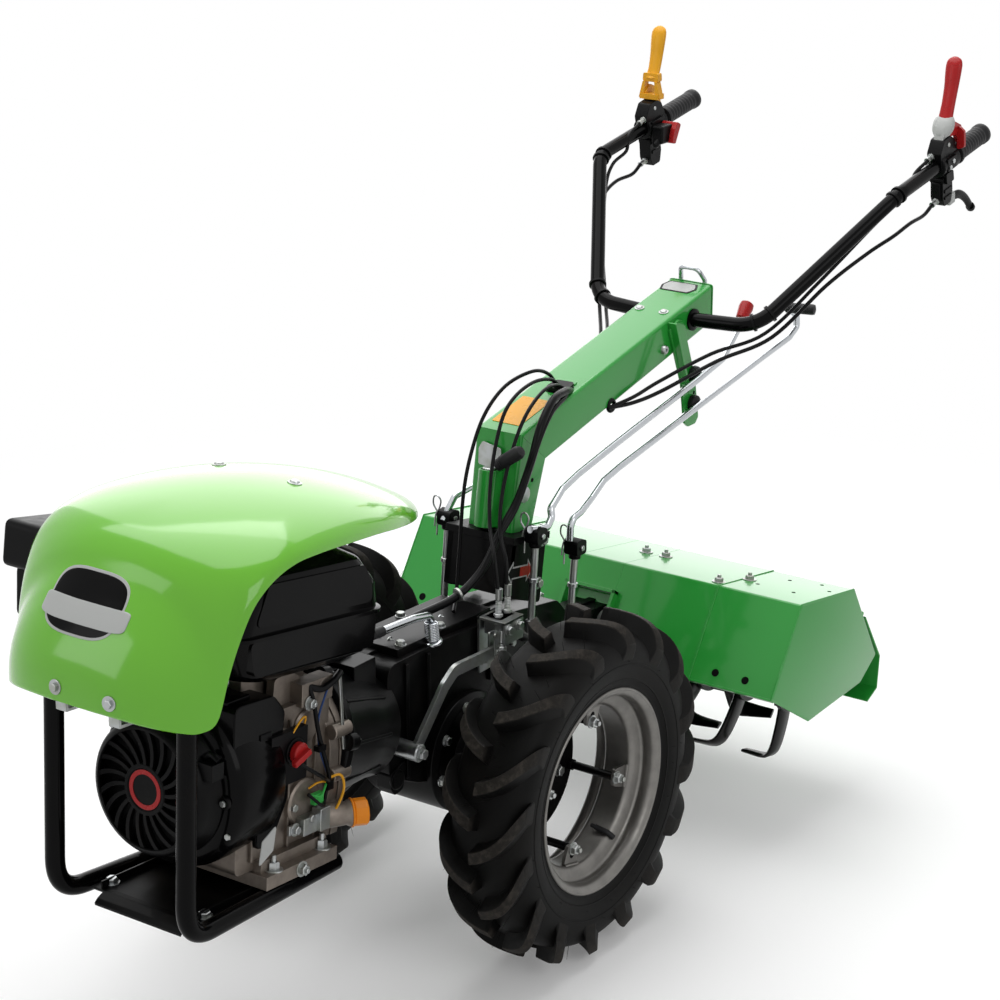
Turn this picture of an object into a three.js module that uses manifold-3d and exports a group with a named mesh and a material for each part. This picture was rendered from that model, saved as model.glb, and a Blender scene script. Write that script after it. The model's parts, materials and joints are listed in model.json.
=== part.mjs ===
// Walking tractor with a rear rotary tiller.
// Millimetres, +Z up, forward along -Y, the machine's left along +X.
// Everything is laid out from the wheel axle at (0, 0, 0); the last lines stand the machine on its tyres
// with the origin under the middle of its length.
import * as THREE from "three";
import { mergeVertices } from "three/addons/utils/BufferGeometryUtils.js";
import Module from "manifold-3d";

const wasm = await Module();
wasm.setup();

// ---------------------------------------------------------------- driving dimensions
const gap = 0.3; // between pieces that touch
const runningGap = 6; // between pieces that move past each other

const tyreRadius = 274; // over the lugs
const tyreWidth = 140;
const tyreWall = 14;
const wheelCentreX = 264; // half the track
const rimFlangeRadius = 162;
const rimWidth = 118;
const rimWall = 4;
const rimWellDepth = 36; // from the flange down to the inside of the deep middle
const rimWellRadius = rimFlangeRadius - rimWellDepth;
const wheelSides = 28; // the same on tyre and rim, so that their flats line up
const hubRadius = 34;
const axleRadius = 16;
const hubArmCount = 4;

const finalDriveRadius = 97;
const finalDriveHalfWidth = 77;

const enginePitch = THREE.MathUtils.degToRad(-5); // the nose stands a little high
const engineRearY = -330; // mounting face of the engine on the clutch housing
const crankZ = 143; // crankshaft height at that face
const crankcaseHalfWidth = 104;
const crankcaseLength = 236;
const crankcaseAbove = 92;
const footHalfWidth = 116;
const footThickness = 20;
const footRearY = -46; // rear end of the feet, from the mounting face
const blowerRadius = 128;
const blowerDepth = 82;
const recoilRadius = 104;
const recoilDepth = 46;

const guardTubeRadius = 14;
const guardHalfWidth = 120;
const guardFrontY = -709;
const guardTopZ = 312;
const guardBottomZ = 2;
const guardDrop = 27; // fall of the lower run from front to back
const guardRearY = -372;
const guardSlope = Math.atan2(guardDrop, guardRearY - guardFrontY);
const skidPlateThickness = 4;

const bonnetHalfWidth = 196;
const bonnetFrontY = -766;
const bonnetRearY = -62;
const bonnetTopZ = 592;
const bonnetHemZ = 326;
const bonnetWall = 4;

const columnWidth = 86;
const columnDepth = 76;
const columnFootY = 192; // centre of the column where it stands on its turret
const columnFootZ = 304;
const columnLean = THREE.MathUtils.degToRad(9.5);
const kneeZ = 466;
const beamHeight = 66;
const beamSlope = THREE.MathUtils.degToRad(11.8);
const beamTailY = 760;

const barTubeRadius = 12.5;
const barSpreadLow = 160;
const barSpreadHigh = 300;
const gripEndY = 1257;
const gripEndZ = 800;
const gripLength = 118;
const gripRadius = 17;

const hoodHalfWidth = 384;
const hoodCoreHalfWidth = 225; // the middle hood between its two extensions
const hoodSheet = 3;
const rotorY = 575;
const rotorZ = -15;
const rotorShaftRadius = 17;
const tineTipRadius = 148;
const tineFlangeRadius = 56;
const tineThickness = 9;
const tineCount = 4; // on each flange
const flangeOffsets = [98, 180, 262, 344]; // distances of the tine flanges from the middle


// ---------------------------------------------------------------- materials
const paint = (color, roughness, metalness = 0) =>
  new THREE.MeshStandardMaterial({ color, roughness, metalness });
const material = {
  bonnetGreen: paint(0x5cc42c, 0.25),
  frameGreen: paint(0x18993c, 0.42),
  black: paint(0x151515, 0.45),
  castBlack: paint(0x131313, 0.5),
  blackPlastic: paint(0x1a1a1a, 0.4),
  rubber: paint(0x1c1b1a, 0.85),
  grip: paint(0x202020, 0.8),
  rimSilver: paint(0x9a9894, 0.4, 0.8),
  aluminium: paint(0x8f8880, 0.55, 0.7),
  galvanised: paint(0xa9adac, 0.4, 0.9),
  chrome: paint(0xd0d2d4, 0.2, 1.0),
  red: paint(0xc02020, 0.35),
  yellow: paint(0xe6a81c, 0.35),
  orange: paint(0xe07a12, 0.4),
  cable: paint(0x101010, 0.6),
};

// ---------------------------------------------------------------- geometry helpers
const v3 = (x, y, z) => new THREE.Vector3(x, y, z);
const v2 = (x, y) => new THREE.Vector2(x, y);
const turns = THREE.MathUtils.degToRad;

// A closed three.js geometry as a manifold solid.
function solid(geometry) {
  const bare = geometry.clone();
  bare.deleteAttribute("normal");
  bare.deleteAttribute("uv");
  const merged = mergeVertices(bare, 1e-4);
  const corners = [];
  for (let i = 0; i < merged.index.count; i += 3) {
    const [a, b, c] = [0, 1, 2].map((k) => merged.index.getX(i + k));
    if (a !== b && b !== c && c !== a) corners.push(a, b, c); // the slivers at a pole are left out
  }
  return new wasm.Manifold(
    new wasm.Mesh({
      numProp: 3,
      vertProperties: new Float32Array(merged.attributes.position.array),
      triVerts: new Uint32Array(corners),
    }),
  );
}

// A manifold solid as a three.js geometry.
function surface(body) {
  const mesh = body.getMesh();
  const geometry = new THREE.BufferGeometry();
  geometry.setAttribute("position", new THREE.BufferAttribute(new Float32Array(mesh.vertProperties), 3));
  geometry.setIndex(new THREE.BufferAttribute(new Uint32Array(mesh.triVerts), 1));
  geometry.computeVertexNormals();
  return geometry;
}

const join = (...bodies) => bodies.reduce((sum, body) => sum.add(body));
const cut = (body, ...tools) => tools.reduce((rest, tool) => rest.subtract(tool), body);

// A box between two corners.
function box(low, high) {
  const size = high.map((value, i) => value - low[i]);
  const middle = high.map((value, i) => (value + low[i]) / 2);
  return solid(new THREE.BoxGeometry(...size).translate(...middle));
}

// A cylinder, or a cone with two radii, from one point to another.
function rod(from, to, radius, sides = 20, endRadius = radius) {
  const start = v3(...from);
  const along = v3(...to).sub(start);
  const geometry = new THREE.CylinderGeometry(endRadius, radius, along.length(), sides);
  geometry.translate(0, along.length() / 2, 0);
  geometry.applyQuaternion(new THREE.Quaternion().setFromUnitVectors(v3(0, 1, 0), along.clone().normalize()));
  geometry.translate(start.x, start.y, start.z);
  return solid(geometry);
}

// An outline in the YZ plane, carried along X from x0 to x1.
function sidePrism(outline, x0, x1) {
  const shape = new THREE.Shape(outline.map(([y, z]) => v2(y, z)));
  const geometry = new THREE.ExtrudeGeometry(shape, { depth: x1 - x0, bevelEnabled: false });
  geometry.applyMatrix4(new THREE.Matrix4().makeBasis(v3(0, 1, 0), v3(0, 0, 1), v3(1, 0, 0)));
  geometry.translate(x0, 0, 0);
  return solid(geometry);
}

// An outline in the XY plane, carried up from z0 to z1.
function planPrism(outline, z0, z1) {
  const shape = new THREE.Shape(outline.map(([x, y]) => v2(x, y)));
  const geometry = new THREE.ExtrudeGeometry(shape, { depth: z1 - z0, bevelEnabled: false });
  geometry.translate(0, 0, z0);
  return solid(geometry);
}

// A closed profile of [x, radius] points, in either order, turned about the X axis.
function turned(profile, sides = 40) {
  const points = profile.map(([x, radius]) => v2(radius, x));
  if (THREE.ShapeUtils.area(points) < 0) points.reverse();
  const geometry = new THREE.LatheGeometry(points, sides);
  geometry.applyMatrix4(new THREE.Matrix4().makeBasis(v3(0, 0, 1), v3(1, 0, 0), v3(0, 1, 0)));
  return solid(geometry);
}

// A path through chosen points, each corner rounded by a bend radius.
class BentPath extends THREE.Curve {
  constructor(corners, bendRadius, bendSteps = 4) {
    super();
    const points = corners.map((corner) => v3(...corner));
    this.points = [points[0]];
    for (let i = 1; i < points.length - 1; i++) {
      const before = points[i - 1].clone().sub(points[i]);
      const after = points[i + 1].clone().sub(points[i]);
      const angle = Math.PI - before.angleTo(after);
      const reach = bendRadius * Math.tan(angle / 2);
      const limit = 0.48 * Math.min(before.length(), after.length());
      const trim = Math.min(reach, limit);
      const start = points[i].clone().addScaledVector(before.normalize(), trim);
      const end = points[i].clone().addScaledVector(after.normalize(), trim);
      const bend = new THREE.QuadraticBezierCurve3(start, points[i], end);
      this.points.push(...bend.getPoints(bendSteps));
    }
    this.points.push(points[points.length - 1]);
  }
  getPoint(t) {
    const place = t * (this.points.length - 1);
    const index = Math.min(Math.floor(place), this.points.length - 2);
    return this.points[index].clone().lerp(this.points[index + 1], place - index);
  }
  getPointAt(u) {
    return this.getPoint(u);
  }
  getTangentAt(u) {
    const last = this.points.length - 1;
    const index = Math.round(u * last);
    const before = this.points[Math.max(index - 1, 0)];
    const here = this.points[index];
    const after = this.points[Math.min(index + 1, last)];
    const incoming = here.clone().sub(before).normalize();
    const outgoing = after.clone().sub(here).normalize();
    return incoming.add(outgoing).normalize();
  }
}

// A round bar bent along corners.
function bar(corners, radius, bendRadius, sides = 12, bendSteps = 4) {
  const path = new BentPath(corners, bendRadius, bendSteps);
  const section = new THREE.Shape();
  for (let i = 0; i < sides; i++) {
    const angle = (2 * Math.PI * i) / sides;
    const point = [radius * Math.cos(angle), radius * Math.sin(angle)];
    if (i === 0) section.moveTo(...point);
    else section.lineTo(...point);
  }
  section.closePath();
  const steps = path.points.length - 1;
  return solid(new THREE.ExtrudeGeometry(section, { steps, bevelEnabled: false, extrudePath: path }));
}

// A flat strip of rectangular section bent along corners that share one X.
function strip(corners, x0, x1, thickness) {
  const half = thickness / 2;
  const points = corners.map(([y, z]) => v2(y, z));
  const upper = [];
  const lower = [];
  points.forEach((point, i) => {
    const before = points[Math.max(i - 1, 0)];
    const after = points[Math.min(i + 1, points.length - 1)];
    const incoming = point.clone().sub(before);
    const outgoing = after.clone().sub(point);
    const direction = incoming.normalize().add(outgoing.normalize()).normalize();
    const normal = v2(-direction.y, direction.x);
    const edge = i === 0 ? after.clone().sub(point) : point.clone().sub(before);
    const mitre = half / Math.max(Math.abs(normal.dot(v2(-edge.y, edge.x).normalize())), 0.3);
    upper.push([point.x + normal.x * mitre, point.y + normal.y * mitre]);
    lower.unshift([point.x - normal.x * mitre, point.y - normal.y * mitre]);
  });
  return sidePrism([...upper, ...lower], x0, x1);
}

// The same solid on the other side of the machine, with its triangles turned to face out again.
function mirrored(body) {
  const geometry = surface(body).scale(-1, 1, 1);
  const index = geometry.index;
  for (let i = 0; i < index.count; i += 3) {
    const second = index.getX(i + 1);
    index.setX(i + 1, index.getX(i + 2));
    index.setX(i + 2, second);
  }
  return solid(geometry);
}

const machine = new THREE.Group();
// Puts a finished solid into the machine under its own name.
function place(name, look, body, parent = machine) {
  const mesh = new THREE.Mesh(surface(body), look);
  mesh.name = name;
  parent.add(mesh);
}
// The same solid on both sides: the left one as it is made, the right one mirrored.
function placePair(name, look, body) {
  place(`${name}_left`, look, body);
  place(`${name}_right`, look, mirrored(body));
}

// ---------------------------------------------------------------- wheels
const beadRadius = rimFlangeRadius - 10;
const lugPlateX = wheelCentreX - 20; // inboard face of the plates welded into the rim
const lugPlateThickness = 6;

function tyre() {
  const half = tyreWidth / 2;
  const beadX = rimWidth / 2 - rimWall - 1;
  const outer = [
    [beadX, beadRadius + gap],
    [beadX, rimFlangeRadius + 2],
    [half - 4, rimFlangeRadius + 16],
    [half, (rimFlangeRadius + tyreRadius) / 2],
    [half - 4, tyreRadius - 24],
    [half - 20, tyreRadius - 6],
  ];
  const inner = [
    [beadX - tyreWall + 3, beadRadius + gap],
    [half - tyreWall - 4, rimFlangeRadius + 20],
    [half - tyreWall, (rimFlangeRadius + tyreRadius) / 2],
    [half - 30, tyreRadius - tyreWall - 3],
  ];
  const mirroredX = (points) => points.map(([x, radius]) => [-x, radius]).reverse();
  const loop = [...outer, [0, tyreRadius], ...mirroredX(outer), ...mirroredX(inner).reverse(), ...inner.slice().reverse()];
  const shifted = loop.map(([x, radius]) => [x + wheelCentreX, radius]);
  return turned([...shifted, shifted[0]], wheelSides);
}

function rim() {
  const half = rimWidth / 2;
  const wellOuter = rimWellRadius + rimWall;
  const tyreSide = [
    [-half, rimFlangeRadius],
    [-half + rimWall, rimFlangeRadius],
    [-half + rimWall, beadRadius],
    [-30, beadRadius - 2],
    [-22, wellOuter],
    [22, wellOuter],
    [30, beadRadius - 2],
    [half - rimWall, beadRadius],
    [half - rimWall, rimFlangeRadius],
    [half, rimFlangeRadius],
  ];
  const inside = [
    [half, beadRadius - rimWall],
    [32, beadRadius - rimWall - 2],
    [24, rimWellRadius],
    [-24, rimWellRadius],
    [-32, beadRadius - rimWall - 2],
    [-half, beadRadius - rimWall],
  ];
  const loop = [...tyreSide, ...inside].map(([x, radius]) => [x + wheelCentreX, radius]);
  let body = turned([...loop, loop[0]], wheelSides);
  for (let i = 0; i < hubArmCount; i++) {
    const angle = turns(20 + (360 / hubArmCount) * i);
    body = body.add(radialPlate(angle, rimWellRadius - 34, rimWellRadius + 2, 40, lugPlateX, lugPlateX + lugPlateThickness));
  }
  return body;
}

// A flat plate that points away from the X axis, between two radii.
function radialPlate(angle, innerRadius, outerRadius, width, x0, x1) {
  const geometry = new THREE.BoxGeometry(x1 - x0, outerRadius - innerRadius, width);
  geometry.translate((x0 + x1) / 2, (innerRadius + outerRadius) / 2, 0);
  return solid(geometry.applyMatrix4(new THREE.Matrix4().makeRotationX(angle)));
}

const hubInnerX = 100;
const hubArmThickness = 10;
function hub() {
  const armX = lugPlateX - gap;
  let body = rod([hubInnerX, 0, 0], [lugPlateX + 16, 0, 0], hubRadius, 20);
  body = body.add(rod([armX - hubArmThickness, 0, 0], [armX, 0, 0], hubRadius + 30, 20));
  for (let i = 0; i < hubArmCount; i++) {
    const angle = turns(20 + (360 / hubArmCount) * i);
    body = body.add(radialPlate(angle, hubRadius - 6, rimWellRadius - 10, 38, armX - hubArmThickness, armX));
  }
  return body.subtract(rod([hubInnerX - 1, 0, 0], [lugPlateX + 17, 0, 0], axleRadius + gap, 20));
}

placePair("tyre", material.rubber, tyre());
placePair("rim", material.rimSilver, rim());
placePair("hub", material.castBlack, hub());

// ---------------------------------------------------------------- gearbox and clutch housing
const gearboxHalfWidth = 62;
const gearboxFrontY = -190;
const gearboxRearY = 300;
function gearbox() {
  const caseOutline = [
    [gearboxFrontY, 24],
    [-120, -10],
    [-63, -28],
    [60, -84],
    [230, -50],
    [gearboxRearY, 10],
    [gearboxRearY, 128],
    [262, 168],
    [150, 186],
    [-40, 202],
    [gearboxFrontY, 205],
  ];
  const drive = rod([-finalDriveHalfWidth, 0, 0], [finalDriveHalfWidth, 0, 0], finalDriveRadius, 28);
  const bearings = rod([-hubInnerX + runningGap, 0, 0], [hubInnerX - runningGap, 0, 0], 44, 20);
  const axle = rod([-lugPlateX - 20, 0, 0], [lugPlateX + 20, 0, 0], axleRadius, 20);
  const lug = sidePrism(
    [
      [-189, 6],
      [-180, -6],
      [-160, -2],
      [-150, 40],
      [-189, 30],
    ],
    36,
    62,
  );
  const eye = rod([30, -174, 17], [70, -174, 17], 9, 20);
  return join(sidePrism(caseOutline, -gearboxHalfWidth, gearboxHalfWidth), drive, bearings, axle, cut(lug, eye));
}
place("gearbox", material.castBlack, gearbox());

const engineFrame = new THREE.Group(); // its origin is the crankshaft at the rear face of the engine
engineFrame.position.set(0, engineRearY, crankZ);
engineFrame.rotation.x = enginePitch;
machine.add(engineFrame);

// The housing narrows from the engine's face to the gearbox; a pad on top takes the bonnet's strap.
const strapY = -246;
const strapFootZ = 228;
function clutchHousing() {
  const start = engineRearY - 24;
  const end = gearboxFrontY - gap;
  const body = rod([0, start, crankZ - 2], [0, end, 108], 101, 28, 88);
  const cap = rod([0, start, crankZ - 2], [0, start + 40, crankZ - 6], 110, 28);
  const pad = box([-30, strapY - 12, 150], [50, strapY + 42, strapFootZ]);
  return join(body, cap, pad);
}
place("clutch_housing", material.castBlack, trimmedToEngine(clutchHousing()));

// Cuts a solid back to the tilted rear face of the engine and to the upright front of the gearbox.
function trimmedToEngine(body) {
  const keep = new THREE.BoxGeometry(400, 600, 600).translate(0, 300 + gap, 0);
  keep.rotateX(enginePitch);
  keep.translate(0, engineRearY, crankZ);
  const behind = box([-200, gearboxFrontY - gap, -200], [200, gearboxFrontY + 400, 500]);
  return body.intersect(solid(keep)).subtract(behind);
}

// ---------------------------------------------------------------- engine, in its own tilted frame
const airCleanerZ = 214;
const engineFrontY = -crankcaseLength; // where the blower housing starts
// The feet rest on the lower runs of the guard tubes at their rear ends; both lines are straight, so the
// height below the shaft where they meet comes from one equation.
const tubeTopAt = (y) => guardBottomZ - Math.tan(guardSlope) * (y - guardFrontY) + guardTubeRadius / Math.cos(guardSlope);
const footRearTop = tubeTopAt(engineRearY + footRearY * Math.cos(enginePitch)) + 0.4 - crankZ;
const feetUnderside =
  (footRearTop - footRearY * Math.sin(enginePitch)) /
  (Math.cos(enginePitch) - Math.tan(guardSlope) * Math.sin(enginePitch));
const feetZ = feetUnderside + footThickness;
const tankFloor = [
  [-272, 196],
  [-8, 172],
];
// A point just under the tank's sloping floor.
function tankSeat(y) {
  const [[y0, z0], [y1, z1]] = tankFloor;
  return [y, z0 + ((y - y0) * (z1 - z0)) / (y1 - y0) - gap];
}
function engineBlock() {
  const caseBody = box([-crankcaseHalfWidth + 12, engineFrontY, feetZ], [crankcaseHalfWidth - 12, -22, crankcaseAbove]);
  const sideCover = rod([0, -40, 0], [0, 0, 0], crankcaseHalfWidth - 4, 28);
  const feet = box([-footHalfWidth, engineFrontY + 34, feetUnderside], [footHalfWidth, footRearY, feetZ + 2]);
  const cylinder = new THREE.BoxGeometry(170, 130, 120).translate(-120, -120, 0);
  cylinder.rotateY(turns(25));
  cylinder.translate(0, 0, 34);
  const intake = box([-206, -262, 110], [-140, -170, airCleanerZ - gap]);
  const saddle = sidePrism([[-210, 86], [-40, 86], tankSeat(-40), tankSeat(-210)], 40, 80);
  return join(caseBody, sideCover, feet, solid(cylinder), intake, saddle);
}
place("engine_block", material.aluminium, engineBlock(), engineFrame);

const blowerFrontY = engineFrontY - blowerDepth;
function blowerHousing() {
  const drum = rod([0, engineFrontY - gap, 0], [0, blowerFrontY, 0], blowerRadius, 28);
  const shoulder = box([-118, engineFrontY - 62, -20], [118, engineFrontY - gap, 134]);
  const hollow = rod([0, engineFrontY + 1, 0], [0, blowerFrontY + 5, 0], blowerRadius - 5, 28);
  const mouth = rod([0, blowerFrontY + 6, 0], [0, blowerFrontY - 1, 0], recoilRadius - 16, 28);
  return cut(join(drum, shoulder), hollow, mouth);
}
place("blower_housing", material.black, blowerHousing(), engineFrame);

function recoilStarter() {
  const face = blowerFrontY - gap;
  const cup = rod([0, face, 0], [0, face - recoilDepth, 0], recoilRadius, 28, recoilRadius - 10);
  const hollow = rod([0, face + 1, 0], [0, face - recoilDepth + 5, 0], recoilRadius - 6, 28, recoilRadius - 15);
  const handle = box([recoilRadius - 24, face - 30, 34], [recoilRadius + 4, face - 6, 58]);
  return join(cut(cup, hollow), cut(handle, hollow));
}
place("recoil_starter", material.black, recoilStarter(), engineFrame);

// The tank in two pressed halves with a seam flange between them.
const tankLeftX = 134;
const tankRightX = -92;
function fuelTank() {
  const outline = [
    ...tankFloor,
    [18, 196],
    [18, 262],
    [-6, 300],
    [-72, 346],
    [-250, 360],
    [-286, 320],
  ];
  const inset = 2;
  const inner = outline.map(([y, z]) => [y + (y < -130 ? inset : -inset), z + (z < 240 ? inset : -inset)]);
  const seam = sidePrism(
    [
      [-292, 226],
      [24, 212],
      [24, 218],
      [-292, 232],
    ],
    tankRightX - 5,
    tankLeftX + 5,
  );
  const spout = rod([20, -130, 346], [20, -130, 362], 34, 28);
  const neck = rod([20, -130, 330], [20, -130, 366], 24, 24);
  const shell = join(sidePrism(outline, tankRightX, tankLeftX), seam, spout);
  return cut(shell, sidePrism(inner, tankRightX + inset, tankLeftX - inset), neck);
}
place("fuel_tank", material.black, fuelTank(), engineFrame);
place(
  "fuel_cap",
  material.black,
  join(rod([20, -130, 362.3], [20, -130, 374], 36, 28), rod([20, -130, 345], [20, -130, 363], 23.7, 24)),
  engineFrame,
);

// Air cleaner and silencer stand on the right over the cylinder.
const sideRightX = -258;
place(
  "air_cleaner",
  material.blackPlastic,
  planPrism(
    [
      [sideRightX, -262],
      [sideRightX + 18, -284],
      [-112, -284],
      [-98, -262],
      [-98, -170],
      [sideRightX, -170],
    ],
    airCleanerZ,
    airCleanerZ + 88,
  ),
  engineFrame,
);
function silencer() {
  const low = [sideRightX, -152, 176];
  const high = [-104, -14, 262];
  const hollow = box(low.map((value) => value + 4), high.map((value) => value - 4));
  const outlet = rod([sideRightX + 40, -20, 198], [sideRightX + 40, -12, 198], 14, 20);
  return cut(box(low, high), hollow, outlet);
}
place("silencer", material.black, silencer(), engineFrame);
place(
  "oil_filler",
  material.orange,
  join(rod([103.6, -62, -66], [132, -30, -52], 15, 20), rod([132, -30, -52], [150, -14, -45], 19, 12)),
  engineFrame,
);

// ---------------------------------------------------------------- guard, skid plate and bonnet
const guardRearZ = guardBottomZ - guardDrop;
placePair(
  "guard_tube",
  material.black,
  bar(
    [
      [guardHalfWidth, guardFrontY + 14, guardTopZ],
      [guardHalfWidth, guardFrontY, guardBottomZ],
      [guardHalfWidth - 22, guardRearY, guardRearZ],
    ],
    guardTubeRadius,
    46,
    14,
    5,
  ),
);

// The plate lies between the lower runs, with a lip turned down in front.
function skidPlate() {
  const top = (y) => guardBottomZ - Math.tan(guardSlope) * (y - guardFrontY);
  const front = guardFrontY + 44;
  const rear = guardRearY + 2;
  const lip = 30;
  const t = skidPlateThickness;
  const outline = [
    [front - lip, top(front) - lip],
    [front, top(front)],
    [rear, top(rear)],
    [rear, top(rear) - t],
    [front + 1, top(front) - t],
    [front - lip + 3, top(front) - lip - 3],
  ];
  const wide = guardHalfWidth - guardTubeRadius - gap;
  const narrow = wide - 22;
  const plan = [
    [-wide + 26, front - lip - 5],
    [wide - 26, front - lip - 5],
    [wide - 5, front + 10],
    [narrow, rear + 1],
    [-narrow, rear + 1],
    [-wide + 5, front + 10],
  ];
  return sidePrism(outline, -wide, wide).intersect(planPrism(plan, -120, 60));
}
place("skid_plate", material.black, skidPlate());

// The bonnet is a helmet: in plan a blunt nose and a long round tail, above a hem that rises behind the nose.
const bonnetMidY = -560;
const bonnetNose = bonnetMidY - bonnetFrontY;
const bonnetTail = bonnetRearY - bonnetMidY;
const bonnetRise = 0.3; // how fast the crown falls towards the tail
const bonnetTailHemZ = 482; // hem above the tank
const liftPower = 2.6; // how square the sides stand
const crownPower = 2.2; // how flat the top is
const power = (value, exponent) => Math.sign(value) * Math.abs(value) ** exponent;
const smooth = (t) => {
  const held = Math.min(Math.max(t, 0), 1);
  return held * held * (3 - 2 * held);
};
function bonnetHem(y) {
  const rear = bonnetTailHemZ - 0.11 * Math.max(y - bonnetMidY, 0);
  return bonnetHemZ + (rear - bonnetHemZ) * smooth((y + 712) / 112);
}
function bonnetPoint(turn, lift, inset, target) {
  const nose = Math.sin(turn) < 0;
  const planPower = nose ? 2 / 3 : 2 / 2.2;
  const shrink = Math.cos(lift) ** (2 / liftPower);
  const halfWidth = bonnetHalfWidth - inset;
  const reach = (nose ? bonnetNose : bonnetTail) - inset;
  const x = halfWidth * shrink * power(Math.cos(turn), planPower);
  const y = bonnetMidY + reach * shrink * power(Math.sin(turn), planPower);
  const crown = bonnetTopZ - inset - bonnetRise * Math.max(y - bonnetMidY, 0);
  const hem = bonnetHem(y);
  target.set(x, y, hem + (crown - hem) * Math.sin(lift) ** (2 / crownPower));
}
function bonnet() {
  // u goes once round; v climbs the outside from the hem to the crown, then comes down the inside.
  const around = 32;
  const up = 6;
  const positions = [];
  const point = v3(0, 0, 0);
  const rows = [];
  for (let i = 0; i <= up; i++) rows.push([(Math.PI / 2) * (i / up), 0]);
  for (let i = up; i >= 0; i--) rows.push([(Math.PI / 2) * (i / up), bonnetWall]);
  rows.push([0, 0]);
  for (let row = 0; row < rows.length - 1; row++) {
    for (let i = 0; i < around; i++) {
      const corner = (r, k) => {
        bonnetPoint((2 * Math.PI * (k % around)) / around, rows[r][0], rows[r][1], point);
        if (rows[r][0] === Math.PI / 2) point.set(0, bonnetMidY, bonnetTopZ - rows[r][1]);
        return point.toArray();
      };
      const [a, b, c, d] = [corner(row, i), corner(row, i + 1), corner(row + 1, i + 1), corner(row + 1, i)];
      positions.push(...a, ...b, ...c, ...a, ...c, ...d);
    }
  }
  const geometry = new THREE.BufferGeometry();
  geometry.setAttribute("position", new THREE.Float32BufferAttribute(positions, 3));
  geometry.computeVertexNormals();
  return solid(geometry);
}
place("bonnet", material.bonnetGreen, bonnet());

// A bar across the two guard tubes carries the front of the bonnet.
const bonnetBarZ = 336;
const barGap = 0.95; // the ends of the tubes lean a little
const tabFrontY = bonnetFrontY + bonnetWall + 5.5; // against the inside of the nose
function bonnetTab(x) {
  return [
    box([x - 22, tabFrontY, guardTopZ + barGap], [x + 22, guardFrontY - 5, guardTopZ + 5]),
    box([x - 22, tabFrontY, guardTopZ + barGap], [x + 22, tabFrontY + 5, bonnetBarZ + 12]),
  ];
}
place(
  "bonnet_bracket",
  material.galvanised,
  join(
    box([-guardHalfWidth - 14, guardFrontY - 6, guardTopZ + barGap], [guardHalfWidth + 14, guardFrontY + 26, guardTopZ + 5]),
    ...[-1, 1].flatMap((side) => bonnetTab(side * 48)),
  ),
);

// A strap from the clutch housing holds the tail of the bonnet.
// Height of the strap's centre where it lies against the bonnet's underside.
function bonnetUnder(y) {
  const shrink = (y - bonnetMidY) / (bonnetTail - bonnetWall);
  const lift = Math.acos(shrink ** (liftPower / 2));
  const crown = bonnetTopZ - bonnetWall - bonnetRise * (y - bonnetMidY);
  const hem = bonnetHem(y);
  return hem + (crown - hem) * Math.sin(lift) ** (2 / crownPower) - 2.3;
}
place(
  "bonnet_strap",
  material.galvanised,
  strip(
    [
      [strapY + 26, strapFootZ + gap + 1.5],
      [strapY, strapFootZ + gap + 1.5],
      [strapY - 12, bonnetUnder(strapY - 12)],
      [strapY + 10, bonnetUnder(strapY + 10)],
    ],
    -16,
    16,
    3,
  ),
);

// ---------------------------------------------------------------- turret and controls on the gearbox
const leanFrame = (body, y, z) => {
  // a solid made upright about its own foot, leant back and stood at (y, z)
  const geometry = surface(body).rotateX(-columnLean).translate(0, y, z);
  return solid(geometry);
};
const turretHalfWidth = 70;
const turretHeight = 142;
function turret() {
  const block = box([-turretHalfWidth, -40, -turretHeight], [turretHalfWidth, 60, 0]);
  const slot = box([-turretHalfWidth + 12, -28, -turretHeight + 20], [turretHalfWidth - 12, 61, -14]);
  const pin = rod([0, 0, -20], [0, 0, 34], 15, 24);
  const lean = leanFrame(join(cut(block, slot), pin), columnFootY, columnFootZ);
  return lean.subtract(gearboxTool());
}
// The gearbox outline grown by the touching gap, used to seat pieces on it.
function gearboxTool() {
  const outline = [
    [-400, -300],
    [600, -300],
    [600, 128 + gap],
    [gearboxRearY + gap, 128 + gap],
    [262, 168 + gap],
    [150, 186 + gap],
    [-40, 202 + gap],
    [-400, 214 + gap],
  ];
  return sidePrism(outline, -200, 200);
}
place("turret", material.black, turret());

place(
  "cable_bracket",
  material.galvanised,
  join(
    box([gearboxHalfWidth + gap, 34, 120], [gearboxHalfWidth + 4, 84, 214]),
    box([gearboxHalfWidth + 3, 34, 210], [gearboxHalfWidth + 52, 84, 214]),
    box([gearboxHalfWidth + 48, 34, 176], [gearboxHalfWidth + 52, 84, 213]),
    rod([gearboxHalfWidth + 30, 46, 196], [gearboxHalfWidth + 30, 46, 240], 6, 12),
    rod([gearboxHalfWidth + 30, 70, 196], [gearboxHalfWidth + 30, 70, 240], 6, 12),
  ),
);

const armX = finalDriveHalfWidth + 12;
place(
  "clutch_arm",
  material.galvanised,
  join(
    strip(
      [
        [40, 164],
        [-84, 168],
        [-174, 70],
      ],
      armX,
      armX + 14,
      9,
    ),
    rod([gearboxHalfWidth + gap, -170, 72], [armX + 18, -170, 72], 13, 20),
    rod([armX + 6, 32, 150], [armX + 6, 32, 182], 6, 12),
  ),
);

place(
  "engage_lever",
  material.chrome,
  bar(
    [
      [54, -70, 203.7 + gap],
      [54, -76, 250],
      [62, -130, 262],
      [66, -214, 272],
    ],
    6,
    18,
    10,
    3,
  ),
);

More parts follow.
